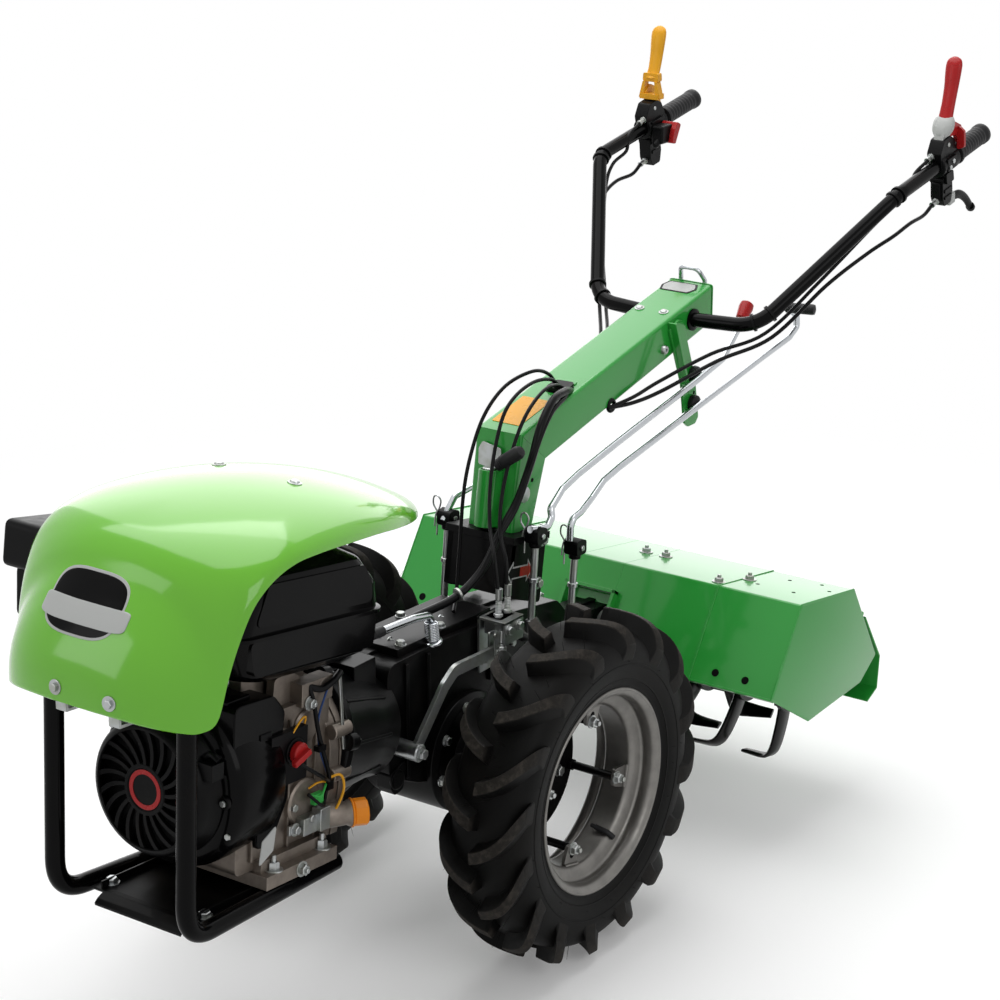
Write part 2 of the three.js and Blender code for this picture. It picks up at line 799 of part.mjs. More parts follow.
// Rods from the shift levers come down into the gearbox lid on each side of the turret.
const rodRadius = 6;
const couplingRadius = 11;
const rodStations = {
  front: { x: 92, y: 150, top: 322, foot: 140 },
  rear: { x: 92, y: 262, top: 268, foot: 110 },
  right: { x: -92, y: 150, top: 322, foot: 140 },
};
function selectorRod({ x, y, top, foot }) {
  const side = Math.sign(x);
  const stem = rod([x, y + 4, foot], [x, y + 20, top - 20], rodRadius, 12);
  const coupling = rod([x, y + 17, top - 34], [x, y + 24, top], couplingRadius, 16);
  const boss = rod([side * (gearboxHalfWidth + gap), y + 4, foot + 6], [x + side * 8, y + 4, foot + 6], 12, 16);
  return join(stem, coupling, boss);
}
for (const [name, station] of Object.entries(rodStations)) {
  place(`selector_rod_${name}`, material.galvanised, selectorRod(station));
}

// ---------------------------------------------------------------- column, beam and handlebars
const sheet = 4;
const columnBody = new THREE.Group(); // everything that swings with the handlebars
machine.add(columnBody);
const kneeFront = [columnFootY - columnDepth / 2 + 26.5, kneeZ]; // front corner of the knee
const kneeBack = [kneeFront[0] + 71, kneeZ - 58];
const footHalf = columnDepth / 2;
const alongColumn = (offset, height) => [
  columnFootY + offset * Math.cos(columnLean) + height * Math.sin(columnLean),
  columnFootZ - offset * Math.sin(columnLean) + height * Math.cos(columnLean),
];
const along = (point, distance, angle) => [point[0] + distance * Math.cos(angle), point[1] + distance * Math.sin(angle)];
function column() {
  const w = columnWidth / 2;
  const foot = 0.6;
  const outer = [alongColumn(-footHalf, foot), alongColumn(footHalf, foot), kneeBack, kneeFront];
  const inner = [
    alongColumn(-footHalf + sheet, -10),
    alongColumn(footHalf - sheet, -10),
    [kneeBack[0] - sheet + 3, kneeBack[1] + 3],
    [kneeFront[0] + sheet, kneeFront[1] + 6],
  ];
  return sidePrism(outer, -w, w).subtract(sidePrism(inner, -w + sheet, w - sheet));
}
place("column", material.frameGreen, column(), columnBody);

const beamLength = beamTailY - kneeFront[0];
const beamTop = (y) => kneeFront[1] + (y - kneeFront[0]) * Math.tan(beamSlope);
const beamRise = beamHeight / Math.cos(beamSlope);
function beam() {
  const w = columnWidth / 2;
  const shift = gap + 0.2;
  const outer = [
    [kneeFront[0] + shift, beamTop(kneeFront[0] + shift)],
    [kneeBack[0] + shift, kneeBack[1] + 0.1],
    [beamTailY, beamTop(beamTailY) - beamRise],
    [beamTailY, beamTop(beamTailY)],
  ];
  const inner = [
    [kneeFront[0] - 10, beamTop(kneeFront[0] - 10) - sheet],
    [kneeBack[0] - 10, kneeBack[1] + sheet + 1],
    [beamTailY - sheet, beamTop(beamTailY - sheet) - beamRise + sheet],
    [beamTailY - sheet, beamTop(beamTailY - sheet) - sheet],
  ];
  const notchY = kneeFront[0] + 0.21 * beamLength;
  const notch = box([-8, notchY, kneeZ], [26, notchY + 36, kneeZ + 120]);
  return sidePrism(outer, -w, w).subtract(sidePrism(inner, -w + sheet, w - sheet)).subtract(notch);
}
place("beam", material.frameGreen, beam(), columnBody);

const barStartY = beamTailY - 66;
const barStartZ = beamTop(barStartY) - beamRise / 2;
const barLowBend = [barSpreadLow, barStartY + 14, barStartZ + 2];
const barHighBend = [barSpreadHigh, 928, 744];
const gripEnd = [barSpreadHigh, gripEndY, gripEndZ];
const barDirection = v3(...gripEnd).sub(v3(...barHighBend)).normalize();
const onBar = (distance) => v3(...gripEnd).addScaledVector(barDirection, -distance).toArray();
placePair(
  "handlebar",
  material.black,
  bar([[columnWidth / 2 + 1.9, barStartY, barStartZ], barLowBend, barHighBend, onBar(5)], barTubeRadius, 74, 10, 5),
);
placePair(
  "grip",
  material.grip,
  cut(
    rod(onBar(gripLength), onBar(0), gripRadius, 20),
    rod(onBar(gripLength + 2), onBar(4.6), barTubeRadius + gap, 20),
  ),
);

// The clamp block on each bar carries its lever, which stands up in front of the hand.
const clampFar = gripLength + 8;
const clampLength = 62;
const clampAngle = Math.asin(barDirection.z);
// A place given from the middle of the clamp, across, along and square to the bar.
function onClamp(offset) {
  const [x, y, z] = onBar(clampFar + clampLength / 2);
  return v3(...offset).applyAxisAngle(v3(1, 0, 0), clampAngle).add(v3(x, y, z)).toArray();
}
const earTop = 44;
const clampHousingDrop = 74; // from the bar's middle to the underside of the lever housing
function clampBlock() {
  const [, y, z] = onBar(clampFar + clampLength / 2);
  const block = box([-19, -clampLength / 2, -24], [19, clampLength / 2, 22]);
  const housing = box([-14, -clampLength / 2 + 6, -clampHousingDrop], [14, clampLength / 2 - 20, -22]);
  const ears = box([-15, -24, 20], [15, 24, earTop]);
  const geometry = surface(join(block, housing, ears)).rotateX(clampAngle).translate(barSpreadHigh, y, z);
  return solid(geometry).subtract(rod(onBar(0), onBar(260), barTubeRadius + gap, 20));
}
placePair("lever_clamp", material.blackPlastic, clampBlock());
const clampTop = onBar(clampFar + clampLength / 2);
function handLever(height) {
  const [, y, z] = clampTop;
  const seat = (dy) => [y + dy, z + (earTop + gap) / Math.cos(clampAngle) + dy * Math.tan(clampAngle)];
  const outline = [
    seat(-22),
    seat(24),
    [y + 22, z + 86],
    [y + 34, z + height - 14],
    [y + 26, z + height],
    [y + 12, z + height - 2],
    [y - 4, z + 92],
    [y - 26, z + 74],
  ];
  return sidePrism(outline, barSpreadHigh - 12, barSpreadHigh + 12);
}
place("clutch_lever_left", material.red, handLever(178), columnBody);
place("reverse_lever_right", material.yellow, mirrored(handLever(178)), columnBody);
// The brake lever lies against the underside of its clamp and turns down behind it.
const brakeThickness = 9;
const brakeDrop = -clampHousingDrop - gap - brakeThickness / 2;
const brakeLine = [onClamp([0, -18, brakeDrop]), onClamp([0, 56, brakeDrop]), onClamp([0, 108, brakeDrop - 46])];
place(
  "brake_lever_left",
  material.black,
  strip(brakeLine.map(([, y, z]) => [y, z]), barSpreadHigh - 7, barSpreadHigh + 7, brakeThickness),
  columnBody,
);
place(
  "stop_switch_right",
  material.red,
  box([-barSpreadHigh + 19.4, clampTop[1] - 22, clampTop[2] - 30], [-barSpreadHigh + 46, clampTop[1] + 22, clampTop[2] + 4]),
  columnBody,
);

// A plate under the beam guides the two shift levers.
const leverPaths = {
  front: [
    [rodStations.front.x, 176, 334],
    [rodStations.front.x, 240, 344],
    [72, 300, 368],
    [66, 736, 452],
    [82, 900, 504],
  ],
  rear: [
    [rodStations.rear.x, 288, 280],
    [rodStations.rear.x, 330, 300],
    [72, 392, 334],
    [66, 742, 398],
    [76, 1004, 446],
    [84, 1034, 466],
  ],
};
const guideY = beamTailY - 70;
// Where a lever passes the guide, on its long straight run.
function throughGuide([, , start, end], y) {
  return v3(...start).lerp(v3(...end), (y - start[1]) / (end[1] - start[1])).toArray();
}
function leverGuide() {
  const plateX = columnWidth / 2 + gap;
  const under = beamTop(guideY) - beamRise;
  const plate = sidePrism(
    [
      [guideY - 34, under + 6],
      [guideY + 6, under + 14],
      [guideY + 16, 366],
      [guideY - 12, 366],
    ],
    plateX,
    plateX + 5,
  );
  const paths = Object.values(leverPaths);
  const rings = paths.map((path) => {
    const [x, y, z] = throughGuide(path, guideY);
    return rod([plateX + 4, y, z], [x + 13, y, z], 15, 16);
  });
  const holes = paths.map((path) =>
    rod(throughGuide(path, guideY - 30), throughGuide(path, guideY + 30), rodRadius + gap, 16),
  );
  return cut(join(plate, ...rings), ...holes);
}
place("lever_guide", material.frameGreen, leverGuide(), columnBody);
for (const [name, corners] of Object.entries(leverPaths)) {
  const end = corners[corners.length - 1];
  const before = corners[corners.length - 2];
  const out = v3(...end).sub(v3(...before)).normalize();
  const knob = rod(v3(...end).addScaledVector(out, -6).toArray(), v3(...end).addScaledVector(out, 42).toArray(), 9, 12, 15);
  place(`shift_lever_${name}`, material.chrome, join(bar(corners, rodRadius, 30, 8, 3), knob), columnBody);
}

// The loop of wire on the tail carries the machine when it is lifted.
const loopY = beamTailY + gap;
const tailLoopRadius = 4;
place(
  "tail_loop",
  material.chrome,
  bar(
    [
      [-24, loopY + tailLoopRadius, beamTop(beamTailY) - 46],
      [-24, loopY + tailLoopRadius, beamTop(beamTailY) + 4],
      [-16, loopY - 10, beamTop(beamTailY) + 26],
      [16, loopY - 10, beamTop(beamTailY) + 26],
      [24, loopY + tailLoopRadius, beamTop(beamTailY) + 4],
      [24, loopY + tailLoopRadius, beamTop(beamTailY) - 46],
    ],
    tailLoopRadius,
    12,
    8,
    3,
  ),
  columnBody,
);

// A sprung lock handle stands beside the column's face and holds its swivel.
const columnFaceY = (height) => alongColumn(-footHalf, height);
function swivelLock() {
  const [plateY, plateZ] = columnFaceY(96);
  const [tubeY, tubeZ] = columnFaceY(10);
  const plate = box([-26, plateY - 5, plateZ - 22], [24, plateY - 1, plateZ + 14]);
  const tube = rod([0, tubeY - 17, tubeZ], [0, plateY - 16, plateZ + 4], 15, 20);
  return leanTrim(join(plate, tube));
}
// Cuts a solid back to the front face of the column.
function leanTrim(body) {
  const face = box([-200, -footHalf - gap, -40], [200, 200, 200]);
  return body.subtract(leanFrame(face, columnFootY, columnFootZ));
}
place("swivel_lock", material.galvanised, swivelLock(), columnBody);

// ---------------------------------------------------------------- tiller
const caseHalfWidth = 34;
const couplingY = gearboxRearY + gap;
const caseFrontY = couplingY + 74;
const shaftBoreDepth = 14;
const tillerCaseOutline = [
  [caseFrontY, 8],
  [caseFrontY + 70, -52],
  [rotorY - 30, -86],
  [rotorY + 20, -84],
  [rotorY + 62, -44],
  [rotorY + 66, 0],
  [rotorY + 40, 52],
  [rotorY - 60, 86],
  [caseFrontY + 20, 98],
  [caseFrontY, 98],
];
function tillerCase() {
  const hubs = rod([-caseHalfWidth - 12, rotorY, rotorZ], [caseHalfWidth + 12, rotorY, rotorZ], 44, 20);
  const flange = rod([0, couplingY, 66], [0, couplingY + 20, 66], 66, 24);
  const neck = rod([0, couplingY + 19, 66], [0, caseFrontY + 10, 56], 46, 20);
  const body = join(sidePrism(tillerCaseOutline, -caseHalfWidth, caseHalfWidth), hubs, flange, neck);
  const bore = (side) =>
    rod(
      [side * (caseHalfWidth + 13), rotorY, rotorZ],
      [side * (caseHalfWidth + 12 - shaftBoreDepth), rotorY, rotorZ],
      rotorShaftRadius + gap,
      20,
    );
  return cut(body, bore(1), bore(-1));
}
place("tiller_case", material.castBlack, tillerCase());

// One side of the rotor: a shaft with flanges, each with blades bent to one side at their tips.
const tineFoot = 44;
function tine(flangeX, angle, side) {
  // the blade is swept back from the flange, then turned sideways at its tip
  const blade = [
    [-20, tineFlangeRadius - 22],
    [20, tineFlangeRadius - 22],
    [26, 92],
    [10, tineTipRadius - 4],
    [-14, tineTipRadius - 6],
    [-6, 96],
  ];
  const thickness = side * tineThickness;
  const low = Math.min(flangeX, flangeX + thickness);
  const high = Math.max(flangeX, flangeX + thickness);
  const foot = [
    [10, tineTipRadius - 4],
    [-14, tineTipRadius - 6],
    [-17, tineTipRadius - 14],
    [11, tineTipRadius - 12],
  ];
  const footLow = Math.min(flangeX, flangeX + side * tineFoot);
  const footHigh = Math.max(flangeX, flangeX + side * tineFoot);
  const body = join(sidePrism(blade, low, high), sidePrism(foot, footLow, footHigh));
  const geometry = surface(body).rotateX(angle).translate(0, rotorY, rotorZ);
  return solid(geometry);
}
function rotorHalf() {
  const shaftStart = caseHalfWidth + 12 - shaftBoreDepth + 2;
  const last = flangeOffsets[flangeOffsets.length - 1];
  let body = rod([shaftStart, rotorY, rotorZ], [last + 4, rotorY, rotorZ], rotorShaftRadius, 12);
  flangeOffsets.forEach((x, i) => {
    const flange = rod([x, rotorY, rotorZ], [x + tineThickness - 1, rotorY, rotorZ], tineFlangeRadius, 12);
    body = body.add(flange);
    const inward = i === flangeOffsets.length - 1 || i === 2;
    for (let k = 0; k < tineCount; k++) {
      const angle = turns((360 / tineCount) * k + 22 * i + 12);
      const bladeX = inward ? x : x + tineThickness - 1;
      body = body.add(tine(bladeX, angle, inward || k % 2 ? -1 : 1));
    }
  });
  return body;
}
placePair("rotor", material.black, rotorHalf());

// Folded hood over the rotor: its line runs from the front lip over the top to the rear face.
const hoodLine = [
  [400, 22],
  [491, 158],
  [675, 127],
  [716, 62],
];
const hoodPlateCorners = [
  [491, 158],
  [675, 127],
  [768, -22],
  [714, -56],
  [530, -62],
  [400, 22],
];
const hoodTopZ = (y) =>
  hoodLine[1][1] + ((y - hoodLine[1][0]) * (hoodLine[2][1] - hoodLine[1][1])) / (hoodLine[2][0] - hoodLine[1][0]);
function hoodMiddle() {
  const line = hoodLine.map(([y, z]) => [y, z - 1.5]);
  const skin = strip(line, -hoodCoreHalfWidth, hoodCoreHalfWidth, hoodSheet);
  const opening = box([-caseHalfWidth - 8, 380, 0], [caseHalfWidth + 8, 500, 108]);
  return skin.subtract(opening);
}
place("tiller_hood", material.frameGreen, hoodMiddle());
function hoodEnd() {
  const line = hoodLine.map(([y, z]) => [y, z - 1.5]);
  const skin = strip(line, hoodCoreHalfWidth + gap, hoodHalfWidth - hoodSheet + 1, hoodSheet);
  const plate = sidePrism(hoodPlateCorners, hoodHalfWidth - hoodSheet, hoodHalfWidth);
  return join(skin, plate);
}
placePair("hood_end", material.frameGreen, hoodEnd());

// A bracket on the gear case carries the hood.
place(
  "hood_stay",
  material.black,
  sidePrism(
    [
      [rotorY - 60, 60],
      [rotorY - 20, 60],
      [rotorY - 20, hoodTopZ(rotorY - 20) - hoodSheet - gap],
      [rotorY - 60, hoodTopZ(rotorY - 60) - hoodSheet - gap],
    ],
    -24,
    24,
  ).subtract(sidePrism(tillerCaseOutline.map(([y, z]) => [y, z + gap]), -60, 60)),
);

const flapHinge = [721.2, 66];
function rearFlap() {
  const line = [
    [flapHinge[0], flapHinge[1] - 4],
    [783, -30],
    [778, -88],
    [744, -102],
  ];
  const knuckle = rod([-hoodHalfWidth + 6, ...flapHinge], [hoodHalfWidth - 6, ...flapHinge], 5, 16);
  return join(strip(line, -hoodHalfWidth, hoodHalfWidth, hoodSheet), knuckle);
}
place("rear_flap", material.frameGreen, rearFlap());

// The depth spur is held in the back of the gear case and stands on the ground.
const groundZ = -tyreRadius;
const spurY = rotorY + 82;
place(
  "depth_spur",
  material.black,
  join(
    box([-11, spurY - 14, groundZ + 8], [11, spurY + 14, 104]),
    box([-34, spurY - 34, groundZ], [34, spurY + 52, groundZ + 9]),
    box([-24, rotorY + 66 + gap, -34], [24, spurY + 20, 8]),
  ),
);

// ---------------------------------------------------------------- cables held along the machine
const cableRadius = 3.5;
const cableStart = onClamp([0, -clampLength / 2 + 6 - 1, -46]);
placePair(
  "bar_cable",
  material.cable,
  bar(
    [
      cableStart,
      [barSpreadHigh - 4, cableStart[1] - 60, cableStart[2] - 14],
      [barSpreadHigh - 17, 930, 712],
      [barSpreadLow + 8, barStartY + 44, barStartZ - 14],
      [barSpreadLow - 40, barStartY - 30, barStartZ - 24],
      [columnWidth / 2 + 8, barStartY - 120, beamTop(barStartY - 120) - beamRise - 6],
      [columnWidth / 2 + 6, 450, beamTop(450) - beamRise - 4],
    ],
    cableRadius,
    60,
    6,
    3,
  ),
);
// Three cables leave a grommet in the beam's notch, arch over the knee and drop in front of the column.
function kneeCables() {
  const notchY = kneeFront[0] + 0.21 * beamLength;
  const grommet = box([-7, notchY + 1, beamTop(notchY) - 8], [25, notchY + 35, beamTop(notchY) + 6]);
  const arches = [-20, 0, 20].map((x, i) => {
    const startY = notchY + 12 + 6 * i;
    return bar(
      [
        [4 + 5 * i, startY, beamTop(startY) - 4],
        [x * 0.6 + 5, notchY - 30, beamTop(notchY) + 28],
        [x, kneeFront[0] + 6, kneeZ + 30],
        [x * 1.6, kneeFront[0] - 52, kneeZ - 66],
        [x * 1.7, columnFootY - columnDepth / 2 - 46, columnFootZ + 24],
      ],
      cableRadius,
      46,
      6,
      3,
    );
  });
  return join(grommet, ...arches);
}
place("knee_cables", material.cable, kneeCables(), columnBody);

// ---------------------------------------------------------------- stand the machine on its tyres
const frontEnd = bonnetFrontY;
const rearEnd = gripEndY + gripRadius * barDirection.z;
const tractor = new THREE.Group();
machine.position.set(0, -(frontEnd + rearEnd) / 2, tyreRadius);
tractor.add(machine);
tractor.updateMatrixWorld(true);

export default tractor;
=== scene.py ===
# %% [markdown]
# # A walking tractor with a rear tiller
#
# The machine stands on one axle: an engine hangs in front of it under a green helmet bonnet, a rotary tiller
# hangs behind it, and the driver walks between two long handlebars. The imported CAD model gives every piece
# its place. This lesson builds the visible surfaces around it, one kind of piece at a time.

# %% Load the frame
import json
import math

import bmesh
import bpy
import numpy as np
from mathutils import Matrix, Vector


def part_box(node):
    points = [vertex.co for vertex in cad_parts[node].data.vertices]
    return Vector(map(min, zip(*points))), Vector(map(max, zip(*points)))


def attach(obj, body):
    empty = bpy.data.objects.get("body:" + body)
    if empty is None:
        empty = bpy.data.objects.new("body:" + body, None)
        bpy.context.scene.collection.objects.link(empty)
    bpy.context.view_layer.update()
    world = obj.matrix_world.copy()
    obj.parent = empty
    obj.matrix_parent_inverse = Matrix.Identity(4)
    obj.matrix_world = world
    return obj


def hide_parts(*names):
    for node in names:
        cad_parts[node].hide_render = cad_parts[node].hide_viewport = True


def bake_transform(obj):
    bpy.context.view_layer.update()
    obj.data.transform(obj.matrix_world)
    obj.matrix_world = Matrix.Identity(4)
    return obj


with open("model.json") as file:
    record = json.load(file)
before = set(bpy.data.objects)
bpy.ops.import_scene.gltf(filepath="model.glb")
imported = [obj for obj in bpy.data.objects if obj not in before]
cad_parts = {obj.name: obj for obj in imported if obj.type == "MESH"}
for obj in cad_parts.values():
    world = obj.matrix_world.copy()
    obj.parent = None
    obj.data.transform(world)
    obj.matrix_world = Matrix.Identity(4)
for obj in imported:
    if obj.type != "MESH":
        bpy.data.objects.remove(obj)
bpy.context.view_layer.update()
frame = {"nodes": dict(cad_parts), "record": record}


def node_box(node):
    """Lowest and highest corner of a CAD node, as arrays in metres."""
    low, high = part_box(node)
    return np.array(low), np.array(high)


AXLE = np.mean(node_box("tyre_left"), axis=0) * (0, 1, 1)  # middle of the wheel axle
MM = 0.001

# %% [markdown]
# ## Camera, floor and light
#
# The camera looks down on the nose with a long lens. It is placed from the axle, in millimetres like
# everything below. The floor is a plain pale sheet. Four large soft lamps and a pale world light it, and a
# fifth, the card behind the machine, is only ever seen as a reflection.

# %% Camera
LENS = 92.94
CAMERA_PLACE = (2225.2, -2983.7, 1694.7)
LOOKS_DOWN, TURNED_LEFT = 19.159, 35.088  # degrees


def world_point(point):
    """A point in millimetres from the axle, as a place in the scene in metres."""
    return AXLE + np.asarray(point, float) * MM


scene = bpy.context.scene
scene.view_settings.view_transform = "Standard"
camera_data = bpy.data.cameras.new("camera")
camera_data.lens = LENS
camera_data.clip_end = 60
camera = bpy.data.objects.new("camera", camera_data)
camera.location = world_point(CAMERA_PLACE)
camera.rotation_euler = (math.radians(90 - LOOKS_DOWN), 0, math.radians(TURNED_LEFT))
scene.collection.objects.link(camera)
scene.camera = camera
print("camera at", [round(value, 3) for value in camera.location])

# %% [markdown]
# ## Writing shader maths as sums
#
# A material is a network of nodes. Wiring it by hand is long, so a small class wraps one output socket and
# lets plain sums such as `1 - mask * 0.5` add their own Math nodes. Every other node comes from one method.

# %% A socket that does sums


class Field:
    """One output socket of a material, that can be added to, subtracted from, multiplied and divided."""

    def __init__(self, finish, socket):
        self.finish = finish
        self.socket = socket

    def _sum(self, operation, first, second):
        return self.finish.node("ShaderNodeMath", {"operation": operation}, {0: first, 1: second})

    def __add__(self, other):
        return self._sum("ADD", self, other)

    def __radd__(self, other):
        return self._sum("ADD", other, self)

    def __sub__(self, other):
        return self._sum("SUBTRACT", self, other)

    def __rsub__(self, other):
        return self._sum("SUBTRACT", other, self)

    def __mul__(self, other):
        return self._sum("MULTIPLY", self, other)

    def __rmul__(self, other):
        return self._sum("MULTIPLY", other, self)

    def __truediv__(self, other):
        return self._sum("DIVIDE", self, other)


class Finish:
    """A material made of nodes: a Principled surface, the methods that feed it, and its usual slot."""

    def __init__(self, name, **constants):
        self.slot = None
        self.material = bpy.data.materials.new(name)
        self.material.use_nodes = True
        self.tree = self.material.node_tree
        self.surface = self.tree.nodes["Principled BSDF"]
        self.place = self.node("ShaderNodeTexCoord", output="Object")
        for label, value in constants.items():
            self.surface.inputs[label.replace("_", " ")].default_value = value

    def node(self, kind, settings=None, sockets=None, output=0):
        """A new node of one kind: its settings first, then the values or links of its sockets."""
        node = self.tree.nodes.new(kind)
        for label, value in (settings or {}).items():
            setattr(node, label, value)
        for label, value in (sockets or {}).items():
            if isinstance(value, Field):
                self.tree.links.new(value.socket, node.inputs[label])
            else:
                node.inputs[label].default_value = value
        return Field(self, node.outputs[output])

    def noise(self, scale, detail=3.0, roughness=0.5):
        """Cloudy values from 0 to 1; scale is in clouds a metre."""
        sockets = {"Vector": self.place, "Scale": scale, "Detail": detail, "Roughness": roughness}
        return self.node("ShaderNodeTexNoise", None, sockets)

    def step(self, value, low, high, start=0.0, end=1.0):
        """start below low, end above high, and an S-shaped change between."""
        sockets = {"Value": value, "From Min": low, "From Max": high, "To Min": start, "To Max": end}
        return self.node("ShaderNodeMapRange", {"interpolation_type": "SMOOTHSTEP"}, sockets)

    def blend(self, mask, first, second):
        """The first colour where the mask is 0, the second where it is 1."""
        rgba = [value if isinstance(value, Field) else (*value, 1.0) for value in (first, second)]
        return self.node("ShaderNodeMix", {"data_type": "RGBA"}, {0: mask, 6: rgba[0], 7: rgba[1]}, 2)

    def attribute(self, name):
        """The numbers that a mesh carries on its corners under a name."""
        return self.node("ShaderNodeAttribute", {"attribute_name": name}, output="Fac")

    def feed(self, label, value):
        """Links a value to a socket of the surface."""
        self.tree.links.new(value.socket, self.surface.inputs[label])

    def bump(self, height, strength, distance):
        """Tilts the surface as if it rose and fell by the height times the distance, in metres."""
        sockets = {"Height": height, "Strength": strength, "Distance": distance}
        self.feed("Normal", self.node("ShaderNodeBump", None, sockets))


print("shader helpers ready")

# %% [markdown]
# ## Floor and light
#
# A machine is shown on a white sweep that keeps its soft shadow. A curved backdrop would work; a flat floor
# that turns plain white a little way off is simpler, and a glow that only looking rays see keeps it pale.

# %% Floor and light
FLOOR_GLOW = 0.16  # what the floor near the machine adds to its own light, for rays that look at it
FLOOR_TONE = 0.84
FLOOR_HALF = 14.0
CLEAN_FROM, CLEAN_TO = 0.9, 2.4  # metres from the middle between which the floor turns plain white


def staged_plane(name, corners, material):
    """A flat sheet through four corners."""
    mesh = bpy.data.meshes.new(name)
    mesh.from_pydata(corners, [], [(0, 1, 2, 3)])
    mesh.materials.append(material)
    sheet = bpy.data.objects.new(name, mesh)
    scene.collection.objects.link(sheet)


floor_paint = Finish("floor_white", Roughness=0.9, Specular_IOR_Level=0.1, Emission_Strength=1.0)
floor_paint.surface.inputs["Base Color"].default_value = (FLOOR_TONE, FLOOR_TONE, FLOOR_TONE, 1)
rays = floor_paint.tree.nodes.new("ShaderNodeLightPath")
looked_at = floor_paint.node("ShaderNodeMath", {"operation": "MAXIMUM"})
for k, label in enumerate(("Is Camera Ray", "Is Glossy Ray")):
    floor_paint.tree.links.new(rays.outputs[label], looked_at.socket.node.inputs[k])
distance = floor_paint.node("ShaderNodeVectorMath", {"operation": "LENGTH"}, {0: floor_paint.place}, "Value")
far = floor_paint.step(distance, CLEAN_FROM, CLEAN_TO) * looked_at
glow = floor_paint.blend(looked_at, (0, 0, 0), (FLOOR_GLOW, FLOOR_GLOW, FLOOR_GLOW))
floor_paint.feed("Emission Color", glow)
white = floor_paint.tree.nodes.new("ShaderNodeEmission")
mixed = floor_paint.tree.nodes.new("ShaderNodeMixShader")
floor_paint.tree.links.new(far.socket, mixed.inputs[0])
floor_paint.tree.links.new(floor_paint.surface.outputs[0], mixed.inputs[1])
floor_paint.tree.links.new(white.outputs[0], mixed.inputs[2])
floor_paint.tree.links.new(mixed.outputs[0], floor_paint.tree.nodes["Material Output"].inputs[0])
floor_corners = [(x * FLOOR_HALF, y * FLOOR_HALF, 0) for x, y in ((-1, -1), (1, -1), (1, 1), (-1, 1))]
staged_plane("floor", floor_corners, floor_paint.material)


def soft_lamp(name, place, target, size, power):
    """A square lamp that looks from a place to a target, both in metres."""
    data = bpy.data.lights.new(name, "AREA")
    data.size = size
    data.energy = power
    lamp = bpy.data.objects.new(name, data)
    lamp.location = place
    aim = np.subtract(target, place)
    lamp.rotation_euler = (
        math.atan2(math.hypot(aim[0], aim[1]), -aim[2]),
        0,
        math.atan2(aim[1], aim[0]) - math.pi / 2,
    )
    scene.collection.objects.link(lamp)
    return lamp


soft_lamp("lamp_over", (-0.6, 0.2, 3.6), (0, -0.1, 0.4), 3.2, 95)
soft_lamp("lamp_nose", (-1.8, -3.6, 2.3), (0, -0.3, 0.5), 1.8, 20)
soft_lamp("lamp_side", (4.0, -1.2, 2.6), (0, 0, 0.4), 2.2, 34)
lamp_back = soft_lamp("lamp_back", (-2.4, 4.8, 2.1), (0, 0.2, 0.5), 3.0, 120)
lamp_back.visible_camera = lamp_back.visible_glossy = False
card_back = soft_lamp("card_back", (-2.8, 4.2, 3.0), (0, -0.2, 0.5), 7.0, 230)
card_back.visible_camera = card_back.visible_diffuse = False

WORLD_GREY = 0.42  # the strength of the world for rays that neither look at it nor mirror it
world = bpy.data.worlds.new("studio")
world.use_nodes = True
scene.world = world
background = world.node_tree.nodes["Background"]
wire_up = world.node_tree.links.new
paths = world.node_tree.nodes.new("ShaderNodeLightPath")
# becomes 1 for rays that look at the world, through glass or in a mirror
direct = paths.outputs["Is Camera Ray"]
for label in ("Is Transmission Ray", "Is Glossy Ray"):
    either = world.node_tree.nodes.new("ShaderNodeMath")
    either.operation = "MAXIMUM"
    wire_up(direct, either.inputs[0])
    wire_up(paths.outputs[label], either.inputs[1])
    direct = either.outputs[0]
level = world.node_tree.nodes.new("ShaderNodeMapRange")
level.inputs["To Min"].default_value = WORLD_GREY
wire_up(direct, level.inputs["Value"])
wire_up(level.outputs[0], background.inputs["Strength"])
background.inputs["Color"].default_value = (1, 1, 1, 1)
print("floor, four lamps, a card seen only as a reflection, and a pale world")

# %% [markdown]
# ## Surfaces as arrays
#
# Every new piece is a *shape*: an array of corners in millimetres from the axle, and arrays of faces that say
# which corners belong together. A grid of corners with two parameters makes most of them: a profile turned
# about a line, or a section carried along a path. Shapes are joined, then written into one mesh.

# %% Grids, turned shapes and tubes
LEFT, BACK, UP, FRONT = (1, 0, 0), (0, 1, 0), (0, 0, 1), (0, -1, 0)  # directions, seen by the driver


def whole_turn(steps):
    """Equal angles all the way round, in radians."""
    return np.linspace(0, 2 * np.pi, steps, endpoint=False)


def grid(rows, columns, close_rows=False, close_columns=False):
    """Quads between neighbours of a rows by columns grid of corners, closed round either way if asked."""
    i, j = np.meshgrid(
        np.arange(rows if close_rows else rows - 1),
        np.arange(columns if close_columns else columns - 1),
        indexing="ij",
    )
    next_i, next_j = (i + 1) % rows, (j + 1) % columns
    quads = [i * columns + j, i * columns + next_j, next_i * columns + next_j, next_i * columns + j]
    return np.stack(quads, -1).reshape(-1, 4)


def joined(*shapes):
    """One shape from several: the faces of each count on from the corners before it."""
    starts = np.cumsum([0] + [len(corners) for corners, _ in shapes])
    groups = [group + start for (_, faces), start in zip(shapes, starts) for group in faces]
    return np.concatenate([corners for corners, _ in shapes]), groups


def rows_shape(points, caps=True, ring=False):
    """A shape from rows of closed rings: quads between rows, and a flat cap on the first and last."""
    rows, columns = points.shape[:2]
    faces = [grid(rows, columns, close_rows=ring, close_columns=True)]
    if caps and not ring:
        first = np.arange(columns)[None, ::-1]
        faces += [first, np.arange(columns)[None] + (rows - 1) * columns]
    return points.reshape(-1, 3), faces


